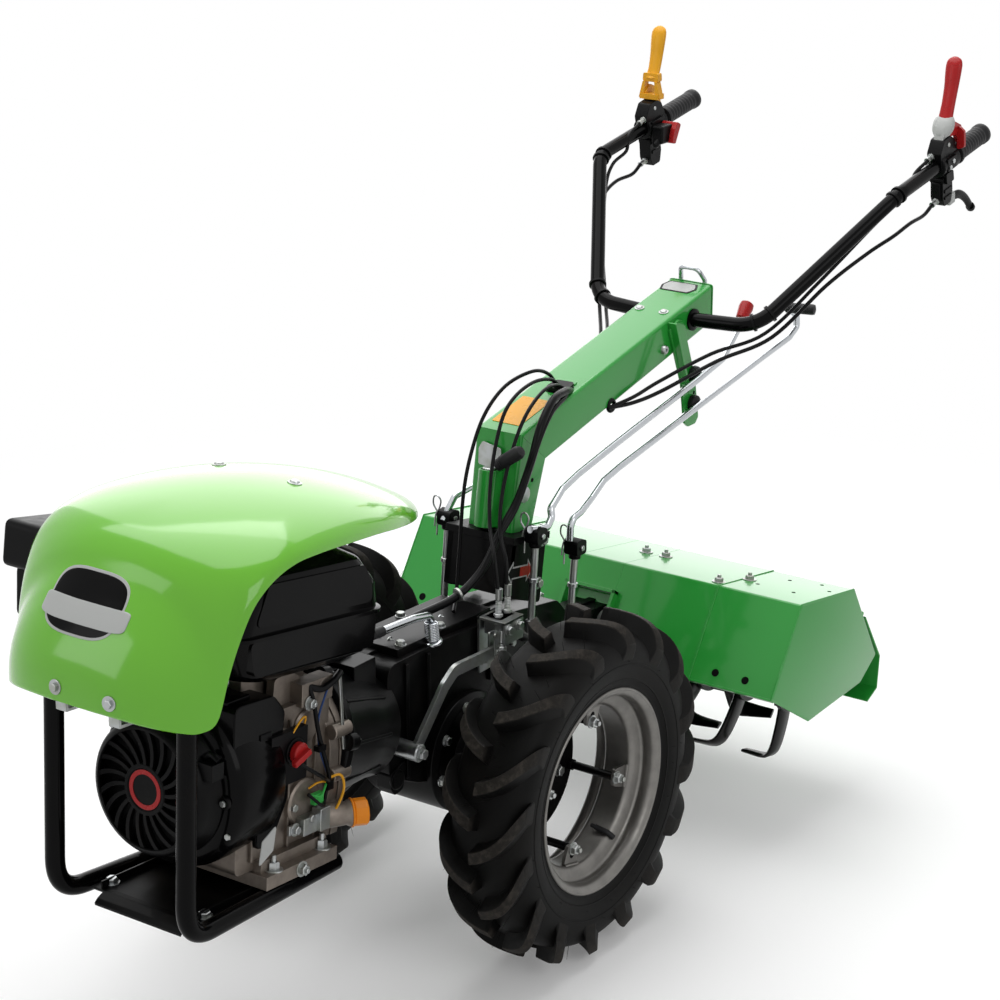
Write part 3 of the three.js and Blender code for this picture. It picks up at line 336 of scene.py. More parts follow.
def cross_axes(direction):
    """The direction at unit length, and two unit vectors square to it and to each other."""
    along = np.asarray(direction, float) / np.linalg.norm(direction)
    helper = np.eye(3)[np.argmin(np.abs(along))]
    first = np.cross(along, helper)
    first /= np.linalg.norm(first)
    return along, first, np.cross(along, first)


def turned(origin, direction, profile, sides=48, ring=False):
    """A profile of (height, radius) about a line: origin + height along + radius (cos t u + sin t v)."""
    along, u, v = cross_axes(direction)
    height, radius = np.asarray(profile, float).T
    turn = whole_turn(sides)
    circle = np.cos(turn)[:, None] * u + np.sin(turn)[:, None] * v
    points = np.asarray(origin, float) + height[:, None, None] * along + radius[:, None, None] * circle
    return rows_shape(points, ring=ring)


def smooth_line(points, steps=8):
    """A Catmull-Rom curve through points: on each stretch a cubic whose ends point along their neighbours."""
    points = np.asarray(points, float)
    padded = np.vstack([2 * points[0] - points[1], points, 2 * points[-1] - points[-2]])
    t = np.linspace(0, 1, steps, endpoint=False)[None, :, None]
    a, b, c, d = (padded[k : len(padded) - 3 + k][:, None] for k in range(4))
    curve = 0.5 * (2 * b + (c - a) * t + (2 * a - 5 * b + 4 * c - d) * t**2 + (3 * b - a - 3 * c + d) * t**3)
    return np.vstack([curve.reshape(-1, points.shape[1]), points[-1]])


def bent_line(corners, bend, steps=10):
    """A path through corners, each one rounded by a curve that starts and ends a tangent length away."""
    corners = np.asarray(corners, float)
    before, middle, after = corners[:-2], corners[1:-1], corners[2:]
    back, ahead = before - middle, after - middle
    back_length, ahead_length = (np.linalg.norm(arm, axis=1) for arm in (back, ahead))
    cosine = np.einsum("ij,ij->i", back, ahead) / (back_length * ahead_length)
    reach = bend * np.tan((np.pi - np.arccos(np.clip(cosine, -1, 1))) / 2)
    trim = np.minimum(reach, 0.48 * np.minimum(back_length, ahead_length))[:, None]
    start = middle + back / back_length[:, None] * trim
    end = middle + ahead / ahead_length[:, None] * trim
    t = np.linspace(0, 1, steps)[None, :, None]
    bends = start[:, None] * (1 - t) ** 2 + 2 * middle[:, None] * t * (1 - t) + end[:, None] * t**2
    return np.vstack([corners[:1], bends.reshape(-1, corners.shape[1]), corners[-1:]])


def carried(path, section):
    """A closed section of (side, up) points carried along a path; side stays square to a fixed direction."""
    path, section = np.asarray(path, float), np.asarray(section, float)
    tangent = np.gradient(path, axis=0)
    tangent /= np.linalg.norm(tangent, axis=1)[:, None]
    candidates = np.vstack([np.eye(3), [[0.6, 0.64, 0.48], [-0.6, 0.64, 0.48], [0.6, -0.64, 0.48]]])
    clear = np.linalg.norm(np.cross(tangent[:, None], candidates[None]), axis=2).min(0)
    side = np.cross(tangent, candidates[np.argmax(clear)])
    side /= np.linalg.norm(side, axis=1)[:, None]
    up = np.cross(side, tangent)
    sizes = np.broadcast_to(section, (len(path),) + section.shape[-2:])
    points = path[:, None] + sizes[..., :1] * side[:, None] + sizes[..., 1:] * up[:, None]
    return rows_shape(points)


def tube(path, radius, sides=16):
    """A round section carried along a path; radius is one number or one for each point."""
    turn = whole_turn(sides)
    circle = np.stack([np.cos(turn), np.sin(turn)], -1)
    radii = np.broadcast_to(np.asarray(radius, float), (len(path),))
    return carried(path, radii[:, None, None] * circle)


def rod(start, end, radius, sides=24, chamfer=0.0):
    """A straight round bar from one point to another, its end edges broken by a chamfer."""
    start, end = np.asarray(start, float), np.asarray(end, float)
    length = np.linalg.norm(end - start)
    profile = [
        (0, radius - chamfer), (chamfer, radius), (length - chamfer, radius), (length, radius - chamfer)
    ]
    if not chamfer:
        profile = [(0, radius), (length, radius)]
    return turned(start, end - start, profile, sides)


def prism(outline, origin, u, v, depth):
    """A flat outline in the plane of u and v, carried by the vector depth and closed on both faces."""
    outline = np.asarray(outline, float)
    flat = np.asarray(
        origin, float
    ) + outline[:, :1] * np.asarray(u, float) + outline[:, 1:] * np.asarray(v, float)
    return rows_shape(np.stack([flat, flat + np.asarray(depth, float)]))


def side_plate(outline, x0, x1):
    """An outline of (y, z) points carried across the machine from x0 to x1."""
    return prism(outline, (x0, 0, 0), BACK, UP, (x1 - x0, 0, 0))


def block(low, high):
    """A box between two corners."""
    (x0, y0, z0), (x1, y1, z1) = low, high
    return side_plate([(y0, z0), (y1, z0), (y1, z1), (y0, z1)], x0, x1)


def rounded(outline, radius, steps=5):
    """An outline with each corner rounded, as the paths of bars are."""
    outline = np.asarray(outline, float)
    loop = np.vstack([outline[-1:], outline, outline[:1]])
    return bent_line(loop, radius, steps)[1:-1]


def soft_plate(outline, radius, x0, x1, steps=5):
    """A side plate with its corners rounded."""
    return side_plate(rounded(outline, radius, steps), x0, x1)


def mirrored(shape):
    """The same shape on the other side of the machine, its faces turned to point out again."""
    corners, groups = shape
    return corners * (-1, 1, 1), [group[:, ::-1] for group in groups]


def both_sides(shape):
    """A shape and its mirror image as one."""
    return joined(shape, mirrored(shape))


def moved(shape, pitch=0.0, by=(0, 0, 0)):
    """A shape turned about the X axis by an angle, then shifted."""
    corners, groups = shape
    c, s = math.cos(pitch), math.sin(pitch)
    turn = np.array([[1, 0, 0], [0, c, -s], [0, s, c]])
    return corners @ turn.T + np.asarray(by, float), groups


def hex_bolt(place, direction, across=13.0, height=5.5, washer=0.0, stud=0.0):
    """A six-sided head with a broken top edge, on a washer if it has one, with the end of a stud in a nut."""
    corner = across / math.sqrt(3)
    along = cross_axes(direction)[0]
    base = np.asarray(place, float) - 0.6 * along
    parts = []
    if washer:
        parts.append(turned(base, direction, [(0, washer), (2.0, washer), (2.3, washer - 0.4)], 20))
        base = base + 2.2 * along
    head = [(0, corner), (height * 0.82, corner), (height, corner * 0.84)]
    parts.append(turned(base, direction, head, 6))
    if stud:
        end = height + stud
        thread = [(0, across * 0.27), (end, across * 0.27), (end + 0.8, across * 0.2)]
        parts.append(turned(base, direction, thread, 12))
    return joined(*parts)


def unchanged(shape):
    """The shape itself: what the left side gets where the right side is mirrored."""
    return shape


SIDES = (("left", unchanged), ("right", mirrored))


def ring_of(count, radius, place, direction, make, start=0.0):
    """The same small shape made at even turns round a circle."""
    along, u, v = cross_axes(direction)
    turns = start + np.arange(count) * 2 * np.pi / count
    return joined(
        *[make(np.asarray(place, float) + radius * (math.cos(t) * u + math.sin(t) * v)) for t in turns]
    )


print("shape helpers ready")

# %% [markdown]
# ## From shapes to pieces
#
# A piece is one Blender object with one material. It rides on a body of the CAD model, so it moves when the
# joints move. Where it stands for a CAD solid it replaces it. Sharp edges get a real bevel, because no edge
# on
# a machine is razor sharp: the bevel is what catches the light.

# %% Making a piece


def soften(piece, width, segments=2):
    """Bevels the edges sharper than 32 degrees, with the flat faces kept flat."""
    bevel = piece.modifiers.new("edges", "BEVEL")
    bevel.width = width * MM
    bevel.segments = segments
    bevel.limit_method = "ANGLE"
    bevel.angle_limit = math.radians(32)
    bevel.harden_normals = True
    bevel.use_clamp_overlap = True


def ride_as(piece, body, replaces=()):
    """Ties a piece to a body, or to none, and hides the CAD nodes that it replaces."""
    if body:
        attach(piece, body)
    if replaces:
        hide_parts(*replaces)
    return piece


def make_piece(
    name, shape, finish, replaces=(), body="chassis", bevel=0.0, segments=2, sharp=38,
    values=None
):
    """Writes a shape, or a list of shapes, into a mesh, points its faces out, and puts the piece on its body."""
    corners, groups = joined(*shape) if isinstance(shape, list) else shape
    mesh = bpy.data.meshes.new(name)
    order = np.concatenate([group.ravel() for group in groups]).astype(np.int32)
    sizes = np.concatenate([np.full(len(group), group.shape[1]) for group in groups])
    mesh.vertices.add(len(corners))
    mesh.vertices.foreach_set("co", (AXLE + corners * MM).astype(np.float32).ravel())
    mesh.loops.add(len(order))
    mesh.loops.foreach_set("vertex_index", order)
    mesh.polygons.add(len(sizes))
    mesh.polygons.foreach_set("loop_start", (np.cumsum(sizes) - sizes).astype(np.int32))
    for label, numbers in (values or {}).items():
        layer = mesh.attributes.new(label, "FLOAT", "POINT")
        layer.data.foreach_set("value", np.asarray(numbers, np.float32))
    mesh.update()
    work = bmesh.new()
    work.from_mesh(mesh)
    bmesh.ops.recalc_face_normals(work, faces=work.faces)
    work.to_mesh(mesh)
    work.free()
    mesh.shade_smooth()
    if not bevel:
        mesh.set_sharp_from_angle(angle=math.radians(sharp))
    mesh.materials.append(finish.material)
    piece = bpy.data.objects.new(name, mesh)
    scene.collection.objects.link(piece)
    if bevel:
        soften(piece, bevel, segments)
    return ride_as(piece, body, replaces)


def body_of(node):
    """The body that a CAD node belongs to."""
    return next(body for body, members in frame["record"]["behaviour"]["bodies"].items() if node in members)


def slot_of(node):
    """The slot that the record gives a CAD node."""
    return next(part["material_slot"] for part in frame["record"]["subparts"] if part["node"] == node)


def softened_copy(node, finish, bevel=1.2, segments=2):
    """A copy of a CAD node with its loose triangles merged back into flat faces and its edges bevelled."""
    mesh = frame["nodes"][node].data.copy()
    work = bmesh.new()
    work.from_mesh(mesh)
    bmesh.ops.remove_doubles(work, verts=work.verts, dist=0.00002)
    bmesh.ops.dissolve_limit(work, angle_limit=math.radians(1.5), verts=work.verts, edges=work.edges)
    work.to_mesh(mesh)
    work.free()
    mesh.name = node + "_edged"
    mesh.shade_smooth()
    mesh.materials.clear()
    mesh.materials.append(finish.material)
    piece = bpy.data.objects.new(node + "_edged", mesh)
    scene.collection.objects.link(piece)
    soften(piece, bevel, segments)
    return ride_as(piece, body_of(node), [node])


print("piece helpers ready")

# %% [markdown]
# ## Finishes
#
# Each finish is named for what it covers. Paint gets a faint orange peel and a clear coat, castings a grain,
# zinc a blotchy sheen, rubber a dull bloom with dust where it has rubbed. Patterns read the place on the
# machine, in metres, so they stay put from every side.

# %% Paints


def paint(name, color, roughness=0.3, peel=0.05, coat=0.3, shift=0.06, dust=0.0, mirror=0.5):
    """Sprayed paint: the colour drifts a little over the panel and the skin has a fine peel."""
    finish = Finish(
        name, Specular_IOR_Level=mirror, Roughness=roughness, Coat_Weight=coat, Coat_Roughness=0.08
    )
    drift = finish.noise(5.0, 2.0)
    dark, light = (tuple(min(channel * k, 1.0) for channel in color) for k in (1 - shift, 1 + shift))
    tone = finish.blend(drift, dark, light)
    if dust:
        settled = finish.step(finish.noise(14.0, 5.0, 0.65), 0.48, 0.75) * dust
        tone = finish.blend(settled, tone, (0.16, 0.13, 0.10))
        finish.feed("Roughness", roughness + 0.3 * settled)
    finish.feed("Base Color", tone)
    finish.bump(finish.noise(420.0, 2.0), peel, 0.0006)
    return finish


BONNET_GREEN = paint(
    "bonnet_green", (0.125, 0.44, 0.012), roughness=0.16, peel=0.02, coat=0.6, shift=0.02, mirror=0.2
)
FRAME_GREEN = paint(
    "frame_green", (0.017, 0.275, 0.032), roughness=0.3, peel=0.05, coat=0.5, shift=0.05, mirror=0.2
)
BLACK_GLOSS = paint(
    "black_gloss", (0.0014, 0.0014, 0.0016), roughness=0.2, peel=0.012, coat=0.07, mirror=0.04, dust=0.01
)
BLACK_SATIN = paint(
    "black_satin", (0.0018, 0.0018, 0.002), roughness=0.4, peel=0.08, coat=0.03, mirror=0.07, dust=0.025
)

# %% [markdown]
# ## Metals, rubber and plastics
#
# Plating, cast metal, moulded plastic and tyre rubber differ mostly in how even their gloss is. Image
# textures could show it; noise on object coordinates needs no images and never repeats. The tyre also reads
# a number stored on its corners, which says where its bars have been rubbed pale.

# %% Metals, rubber and plastics


def metal(name, color, roughness, blotch=0.15, grain=0.05, grain_scale=260.0, metallic=1.0, tint=None):
    """Bare or plated metal: cloudy roughness, a fine grain, and a second tint in the clouds."""
    finish = Finish(name, Metallic=metallic)
    clouds = finish.noise(38.0, 4.0, 0.6)
    finish.feed(
        "Base Color",
        finish.blend(finish.step(clouds, 0.35, 0.7), color, tint or tuple(0.8 * c for c in color))
    )
    finish.feed("Roughness", finish.step(clouds, 0.3, 0.7, roughness, roughness + blotch))
    finish.bump(finish.noise(grain_scale, 4.0, 0.6), grain, 0.0008)
    return finish


ZINC = metal("zinc_plate", (0.40, 0.415, 0.42), 0.30, tint=(0.31, 0.32, 0.29))
BRIGHT = metal("bright_rod", (0.50, 0.52, 0.54), 0.2, blotch=0.03, grain=0.0, tint=(0.47, 0.49, 0.51))
SHAFT = metal("steel_arm", (0.33, 0.34, 0.33), 0.42, blotch=0.18, grain=0.12)
CAST_TINT = (0.17, 0.145, 0.125)
ALUMINIUM = metal(
    "cast_aluminium", (0.215, 0.185, 0.158), 0.42, blotch=0.08, grain=0.25, grain_scale=620.0,
    tint=CAST_TINT, metallic=0.85
)
RIM_SILVER = metal(
    "rim_silver", (0.185, 0.178, 0.166), 0.34, blotch=0.10, grain=0.04, metallic=0.8,
    tint=(0.155, 0.149, 0.14)
)
BLACK_CAST = paint(
    "black_cast", (0.0016, 0.0016, 0.0018), roughness=0.34, peel=0.2, coat=0.05, mirror=0.09, dust=0.02
)
TINE_STEEL = paint(
    "tine_black", (0.002, 0.002, 0.002), roughness=0.3, peel=0.2, coat=0.1, mirror=0.12, dust=0.03
)


def moulded(name, color, roughness=0.35, grain=0.08, scale=700.0, mirror=0.2):
    """Moulded plastic or soft rubber: one colour, a fine texture and slightly uneven gloss."""
    finish = Finish(name, Specular_IOR_Level=mirror)
    finish.feed("Base Color", finish.blend(finish.noise(24.0), tuple(0.93 * c for c in color), color))
    finish.feed("Roughness", finish.step(finish.noise(60.0), 0.3, 0.7, roughness - 0.04, roughness + 0.06))
    finish.bump(finish.noise(scale, 2.0), grain, 0.0005)
    return finish


RED = moulded("red_plastic", (0.36, 0.012, 0.013), 0.3, grain=0.03, scale=300.0)
YELLOW = moulded("yellow_plastic", (0.70, 0.33, 0.016), 0.3, grain=0.03, scale=300.0)
ORANGE = moulded("orange_plastic", (0.80, 0.25, 0.012), 0.35)
PALE = moulded("pale_plastic", (0.42, 0.43, 0.42), 0.4)
BLACK_PLASTIC = moulded("black_plastic", (0.0025, 0.0025, 0.0028), 0.36, grain=0.12, mirror=0.09)
SHEATH = moulded("cable_sheath", (0.003, 0.003, 0.0033), 0.32, grain=0.02, scale=300.0, mirror=0.1)
GRIP = moulded("grip_rubber", (0.010, 0.010, 0.011), 0.5, grain=0.2)
# painted shade: a near-black finish for thin pads laid where holes, slots and openings would show only shade
HOLE_SHADE = moulded("painted_hole_shade", (0.002, 0.002, 0.002), 0.7, mirror=0.05)

TYRE = Finish("tyre_rubber", Specular_IOR_Level=0.08)
rubbed = TYRE.attribute("rubbed")
scuff = TYRE.step(TYRE.noise(90.0, 6.0, 0.7), 0.42, 0.66)
bloom = TYRE.step(TYRE.noise(9.0, 4.0, 0.6), 0.35, 0.75)
worn = rubbed * (0.35 + 0.65 * scuff)
side_tone = TYRE.blend(bloom * 0.8, (0.0028, 0.0028, 0.0027), (0.006, 0.0055, 0.005))
TYRE.feed("Base Color", TYRE.blend(worn, side_tone, (0.042, 0.037, 0.032)))
TYRE.feed("Roughness", 0.5 + 0.3 * worn + 0.08 * bloom)
TYRE.bump(TYRE.noise(340.0, 5.0, 0.7) * (0.25 + rubbed), 0.35, 0.0012)

# %% [markdown]
# ## Slots
#
# The record gives every part a material slot. One table says which finish each slot wears, so the CAD parts
# and the finer pieces take theirs from the same place.

# %% The finish that each slot of the record wears
FINISH_OF_SLOT = {
    "bonnet_paint": BONNET_GREEN,
    "frame_paint": FRAME_GREEN,
    "black_paint": BLACK_GLOSS,
    "black_casting": BLACK_CAST,
    "engine_aluminium": ALUMINIUM,
    "black_plastic": BLACK_PLASTIC,
    "tyre_rubber": TYRE,
    "rim_silver": RIM_SILVER,
    "zinc_plate": ZINC,
    "bright_rod": BRIGHT,
    "grip_rubber": GRIP,
    "red_plastic": RED,
    "yellow_plastic": YELLOW,
    "orange_plastic": ORANGE,
    "cable_sheath": SHEATH,
}
for slot, finish in FINISH_OF_SLOT.items():
    finish.slot = slot
BLACK_SATIN.slot = TINE_STEEL.slot = "black_paint"
HOLE_SHADE.slot, PALE.slot, SHAFT.slot = "black_plastic", "bright_rod", "black_casting"
print(len(FINISH_OF_SLOT), "slots,", len(bpy.data.materials), "materials so far")

# %% [markdown]
# ## The bonnet
#
# The bonnet is one moulding like a riding helmet, open underneath. Seen from above it is a rounded square in
# front and a long oval behind; from the side its hem drops over the nose and lifts behind it. Sculpting would
# work, but this form is a *superellipse* in both directions, so two angles on a grid give it: one goes round,
# the other climbs from the hem to the crown. The hem is one smooth line and the crown a shallow arch, both
# seen from the side. Blank badge pads are laid on the nose.

# %% Bonnet
BONNET_MID_Y = -560.0
BONNET_HALF_WIDTH = 199.0
BONNET_FRONT_Y = -788.0
BONNET_REAR_Y = -84.0
BONNET_TOP = 567.5
BONNET_ARCH = 51.4  # how far the crown falls ARCH_SPAN away from its top
BONNET_ARCH_Y = -493.0
ARCH_SPAN = 300
BONNET_WALL = 4.0
NOSE_POWER, TAIL_POWER = 2 / 3, 1.12  # of cos and sin of the turn, in front of and behind the middle
SHRINK_POWER, RISE_POWER = 0.964, 0.937  # of cos and of sin of the lift
BONNET_HEM = smooth_line(
    [
        (-792, 345), (-784, 344), (-769, 337), (-744, 328), (-725, 325), (-704, 337), (-686, 394),
        (-667, 439), (-642, 478), (-607, 502), (-563, 513), (-514, 512), (-448, 504), (-356, 488),
        (-272, 468), (-168, 442), (-80, 424)
    ], 8
)


def bonnet_hem(y):
    """Height of the hem: low over the nose, high behind it, read from one smooth line of (y, z)."""
    return np.interp(y, BONNET_HEM[:, 0], BONNET_HEM[:, 1])


def bonnet_crown(y):
    """Height of the crown: an arch that falls with the square of the distance from its top."""
    return BONNET_TOP - BONNET_ARCH * ((y - BONNET_ARCH_Y) / ARCH_SPAN) ** 2


def bonnet_surface(turn, lift, inset=0.0):
    """x and y follow signed powers of cos and sin of the turn, shrunk by a power of cos of the lift;
    z climbs from the hem to an arched crown, by a power of sin of the lift."""
    plan = np.where(np.sin(turn) < 0, NOSE_POWER, TAIL_POWER)
    shrink = np.cos(lift) ** SHRINK_POWER
    reach = np.where(np.sin(turn) < 0, BONNET_MID_Y - BONNET_FRONT_Y, BONNET_REAR_Y - BONNET_MID_Y) - inset
    x = (BONNET_HALF_WIDTH - inset) * shrink * np.sign(np.cos(turn)) * np.abs(np.cos(turn)) ** plan
    y = BONNET_MID_Y + reach * shrink * np.sign(np.sin(turn)) * np.abs(np.sin(turn)) ** plan
    hem = bonnet_hem(y)
    z = hem + (bonnet_crown(y) - inset - hem) * np.sin(lift) ** RISE_POWER
    return np.stack([x, y, z], -1)


def bonnet_shape(around=320, up=110):
    """Outer skin from hem to crown, a rounded lip, and the inner skin back down."""
    turn = whole_turn(around)[None]
    lift = np.minimum(np.linspace(0, np.pi / 2, up)[:, None], np.pi / 2 - 0.002)
    outer = bonnet_surface(turn, lift)
    inner = bonnet_surface(turn, lift[::-1], BONNET_WALL)
    lip = (outer[:1] + inner[-1:]) / 2 - (0, 0, 1.2)
    points = np.concatenate([lip, outer, inner])
    corners, faces = rows_shape(points, caps=False)
    body = faces[0].reshape(-1, around, 4)
    crown = up  # the row of quads between the crowns of the two skins is left out and both crowns are capped
    keep = np.concatenate([body[:crown], body[crown + 1 :]]).reshape(-1, 4)
    ring = np.arange(around)[None]
    last = (len(points) - 1) * around
    seam = np.stack([ring[0] + last, (ring[0] + 1) % around + last, (ring[0] + 1) % around, ring[0]], -1)
    return corners, [keep, seam, ring + crown * around, ring[:, ::-1] + (crown + 1) * around]


bonnet = make_piece("bonnet_shell", bonnet_shape(), BONNET_GREEN, ["bonnet"], sharp=50)


def normal_at(turn, lift, step=0.01):
    """Outward direction of the bonnet, from two short steps along it."""
    here = bonnet_surface(np.array(turn), np.array(lift))
    side = bonnet_surface(np.array(turn + step), np.array(lift)) - here
    rise = bonnet_surface(np.array(turn), np.array(lift + step)) - here
    out = np.cross(side, rise)
    return here, out / np.linalg.norm(out)


def nearest_on_bonnet(x, y=None, z=None):
    """The turn and lift whose place comes nearest to the wanted x with the wanted y or z."""
    turn, lift = np.meshgrid(np.linspace(0, 2 * np.pi, 721), np.linspace(0.01, 1.55, 240))
    place = bonnet_surface(turn, lift)
    along = (place[..., 1] - y) ** 2 if y is not None else (place[..., 2] - z) ** 2
    behind = 1e6 * (place[..., 1] > BONNET_MID_Y) * (z is not None)  # keeps a search by height on the nose
    miss = (place[..., 0] - x) ** 2 + along + behind
    i = np.unravel_index(np.argmin(miss), miss.shape)
    return turn[i], lift[i]


bonnet_bolts = []
for x, y, z in [(68, -404, None), (-68, -404, None), (68, None, 362), (-26, None, 364)]:
    place, out = normal_at(*nearest_on_bonnet(x, y, z))
    dome = [(-0.5, 10.5), (1.2, 10.5), (1.6, 7.2), (3.6, 6.4), (5.0, 4.2), (5.4, 1.0)]
    bonnet_bolts.append(turned(place, out, dome, 24) if y else hex_bolt(place, out, 11, 5.0, washer=10.5))
make_piece("bonnet_bolts", bonnet_bolts, ZINC, bevel=0.3)


def nose_y(x, z):
    """The y at which the front of the bonnet passes through each x and z, by halving an interval 40 times."""
    low, high = np.full(x.shape, BONNET_FRONT_Y), np.full(x.shape, BONNET_MID_Y)
    for _ in range(40):
        y = (low + high) / 2
        reach = (BONNET_MID_Y - y) / (BONNET_MID_Y - BONNET_FRONT_Y)
        shrink = np.minimum((reach**3 + np.abs(x / BONNET_HALF_WIDTH) ** 3) ** (1 / 3), 1)
        rise = np.sqrt(1 - shrink ** (2 / SHRINK_POWER)) ** RISE_POWER
        surface_z = bonnet_hem(y) + (bonnet_crown(y) - bonnet_hem(y)) * rise
        low, high = np.where(surface_z < z, y, low), np.where(surface_z < z, high, y)
    return y


def nose_patch(x, z, half_x, half_z, lift, squareness=5.0):
    """A thin pad on the nose: rings of a rounded rectangle |x|^n + |z|^n = r^n, each corner moved onto the
    skin by solving the bonnet's own formula for y, then out by the lift."""
    radius = np.array([1.0, 1.0, 0.985, 0.93, 0.8, 0.6, 0.4, 0.2, 0.02])[:, None]
    rise = np.array([-1.5, lift * 0.7, lift, lift, lift, lift, lift, lift, lift])[:, None]
    t = whole_turn(96)
    c, s = np.cos(t), np.sin(t)
    px = x + radius * half_x * np.sign(c) * np.abs(c) ** (2 / squareness)
    pz = z + radius * half_z * np.sign(s) * np.abs(s) ** (2 / squareness)
    return rows_shape(np.stack([px, nose_y(px, pz) - rise, pz], -1))


make_piece("nose_badge_rim", nose_patch(-15, 466, 66, 37, 0.8, 3.2), PALE)
make_piece("nose_badge_blank", nose_patch(-15, 466, 63, 34, 1.2, 3.2), BLACK_GLOSS)
make_piece("nose_badge_band", nose_patch(-12, 456, 76, 12.5, 2.0, 7), PALE)
print("bonnet", len(bonnet.data.polygons), "faces, and", len(bonnet_bolts), "bolts")

# %% [markdown]
# ## The wheels
#
# A field tyre is a rounded case with tall bars in two staggered rows. Each bar starts at the middle of the
# tread, runs out and back to the shoulder, and dies away down the sidewall. The case is a profile turned
# about the axle. A bar is a strip carried along that profile: its foot follows the case and its top follows a
# second, outer profile. All the bars of a row are the same array with a different turn added.

# %% Tyre
WHEEL_X = 264.0
LUGS = 16
LUG_LAG = np.radians(16.5)  # how far a bar falls behind between the middle and the shoulder
LUG_PHASE = 3.4  # degrees
TREAD_RADIUS = 273.8
BEAD_X, BEAD_RADIUS = 54, 152.6
case_half = smooth_line(
    [
        (0, 249.5), (24, 248.6), (43, 245), (55, 237), (62.5, 224), (66, 208), (65.5, 192), (62, 177),
        (57.5, 168), (56.5, 162.4)
    ], 6
)
top_half = smooth_line(
    [
        (0.5, 273.2), (20, 273.0), (38, 271.2), (52, 267.0), (61.5, 259.5), (67, 248), (69.3, 234),
        (68.8, 221), (66.2, 207)
    ], 8
)
foot_half = smooth_line(
    [
        (0.5, 247), (20, 246.5), (38, 244), (49, 238), (56, 229), (60, 219), (62.5, 212), (63.8, 207),
        (63.6, 200)
    ], 8
)


def s_curve(t):
    """0 up to t = 0, 1 from t = 1, and 3 t squared less 2 t cubed between."""
    held = np.clip(t, 0, 1)
    return held * held * (3 - 2 * held)


def wheel_case():
    """The tyre's case: the half profile and its mirror turned about the axle, closed at the bead."""
    bead = [(BEAD_X, BEAD_RADIUS), (-BEAD_X, BEAD_RADIUS)]
    loop = np.vstack([case_half, bead, (case_half * (-1, 1))[::-1][:-1]])
    return turned((WHEEL_X, 0, 0), LEFT, loop, 192, ring=True)


def lug_row(side, phase):
    """All bars of one row. Along a bar, s runs from the middle to the sidewall; the bar lags behind by an
    angle that grows with s, and its foot is wider than its top."""
    s = np.linspace(0, 1, len(top_half))
    lag = LUG_LAG * s_curve(s * 1.15) * 0.55 + LUG_LAG * 0.45 * np.minimum(s * 1.3, 1)
    top_width = 10.0 + 3.6 * s_curve(s * 1.4)
    foot_width = top_width + 5.5 + 2.5 * s
    level = np.array([0.0, 0.45, 0.93, 1.0, 1.0, 0.93, 0.45, 0.0])
    across = np.array([-1.0, -0.42, -0.06, 0.09, 0.09, -0.06, -0.42, -1.0])
    sign = np.array([-1, -1, -1, -1, 1, 1, 1, 1.0])
    flank = top_width[:, None] + (foot_width - top_width)[:, None] * -across
    spread = np.where(across <= 0, flank, top_width[:, None] - 1.4)
    profile = foot_half[:, None] + level[:, None] * (top_half - foot_half)[:, None]
    turn = np.radians(phase) + np.arange(LUGS)[:, None, None] * 2 * np.pi / LUGS
    angle = turn - lag[None, :, None] + (sign * spread)[None] / profile[None, ..., 1]
    x = np.broadcast_to(WHEEL_X + side * profile[None, ..., 0], angle.shape)
    radius = profile[None, ..., 1]
    points = np.stack([x, -radius * np.sin(angle), radius * np.cos(angle)], -1)
    rubbed = np.broadcast_to((level > 0.99) * (1 - 0.75 * s_curve((s[:, None] - 0.45) * 2.5)), angle.shape)
    return [rows_shape(bar) for bar in points], rubbed.ravel()


def hairs(count, seed):
    """Thin rubber hairs left by the vents of the mould, on the tops of bars and along the sidewall."""
    draw = np.random.default_rng(seed)
    on_tread = draw.random(count) < 0.6
    x = np.where(on_tread, draw.uniform(-52, 52, count), draw.choice([-66.0, 66.0], count))
    start = np.where(on_tread, 246.0, draw.choice([183.0, 205.0], count))
    length = np.where(on_tread, 26.0, 6.0) + draw.uniform(0.5, 4.5, count)
    turn = draw.uniform(0, 2 * np.pi, count)
    spokes = []
    for offset, low, rise, t in zip(x, start, length, turn):
        out = np.array([0, -math.sin(t), math.cos(t)])
        base = np.array([WHEEL_X + offset, 0, 0]) + low * out
        way = out * rise if rise > 12 else np.array([math.copysign(1, offset) * 4.0, 0, 0])
        if rise > 12 and np.hypot(*(base + way)[1:]) > TREAD_RADIUS:
            way = out * (TREAD_RADIUS - low)
        spokes.append(tube([base, base + 0.5 * way, base + way], [0.45, 0.4, 0.25], 4))
    return spokes


def side_ring(side, at, radius):
    """A low moulded ring on one sidewall of the tyre."""
    profile = [(-1.5, radius - 2.2), (1.0, radius - 1.0), (1.0, radius + 1.0), (-1.5, radius + 2.2)]
    return turned((WHEEL_X + side * at, 0, 0), (side, 0, 0), profile, 160, ring=True)


def wheel_shapes():
    """The whole tyre, and for each of its corners how much it has been rubbed."""
    bars_out, rubbed_out = lug_row(1, LUG_PHASE)
    bars_in, rubbed_in = lug_row(-1, LUG_PHASE + 180 / LUGS)
    case = wheel_case()
    rings = [side_ring(side, at, radius) for side in (-1, 1) for at, radius in ((61.2, 176.0), (65.8, 199.0))]
    shape = joined(case, *rings, *bars_out, *bars_in, *hairs(150, 7))
    plain = len(case[0]) + sum(len(ring[0]) for ring in rings)
    rubbed = np.concatenate([np.zeros(plain), rubbed_out, rubbed_in])
    return shape, np.concatenate([rubbed, np.zeros(len(shape[0]) - len(rubbed))])


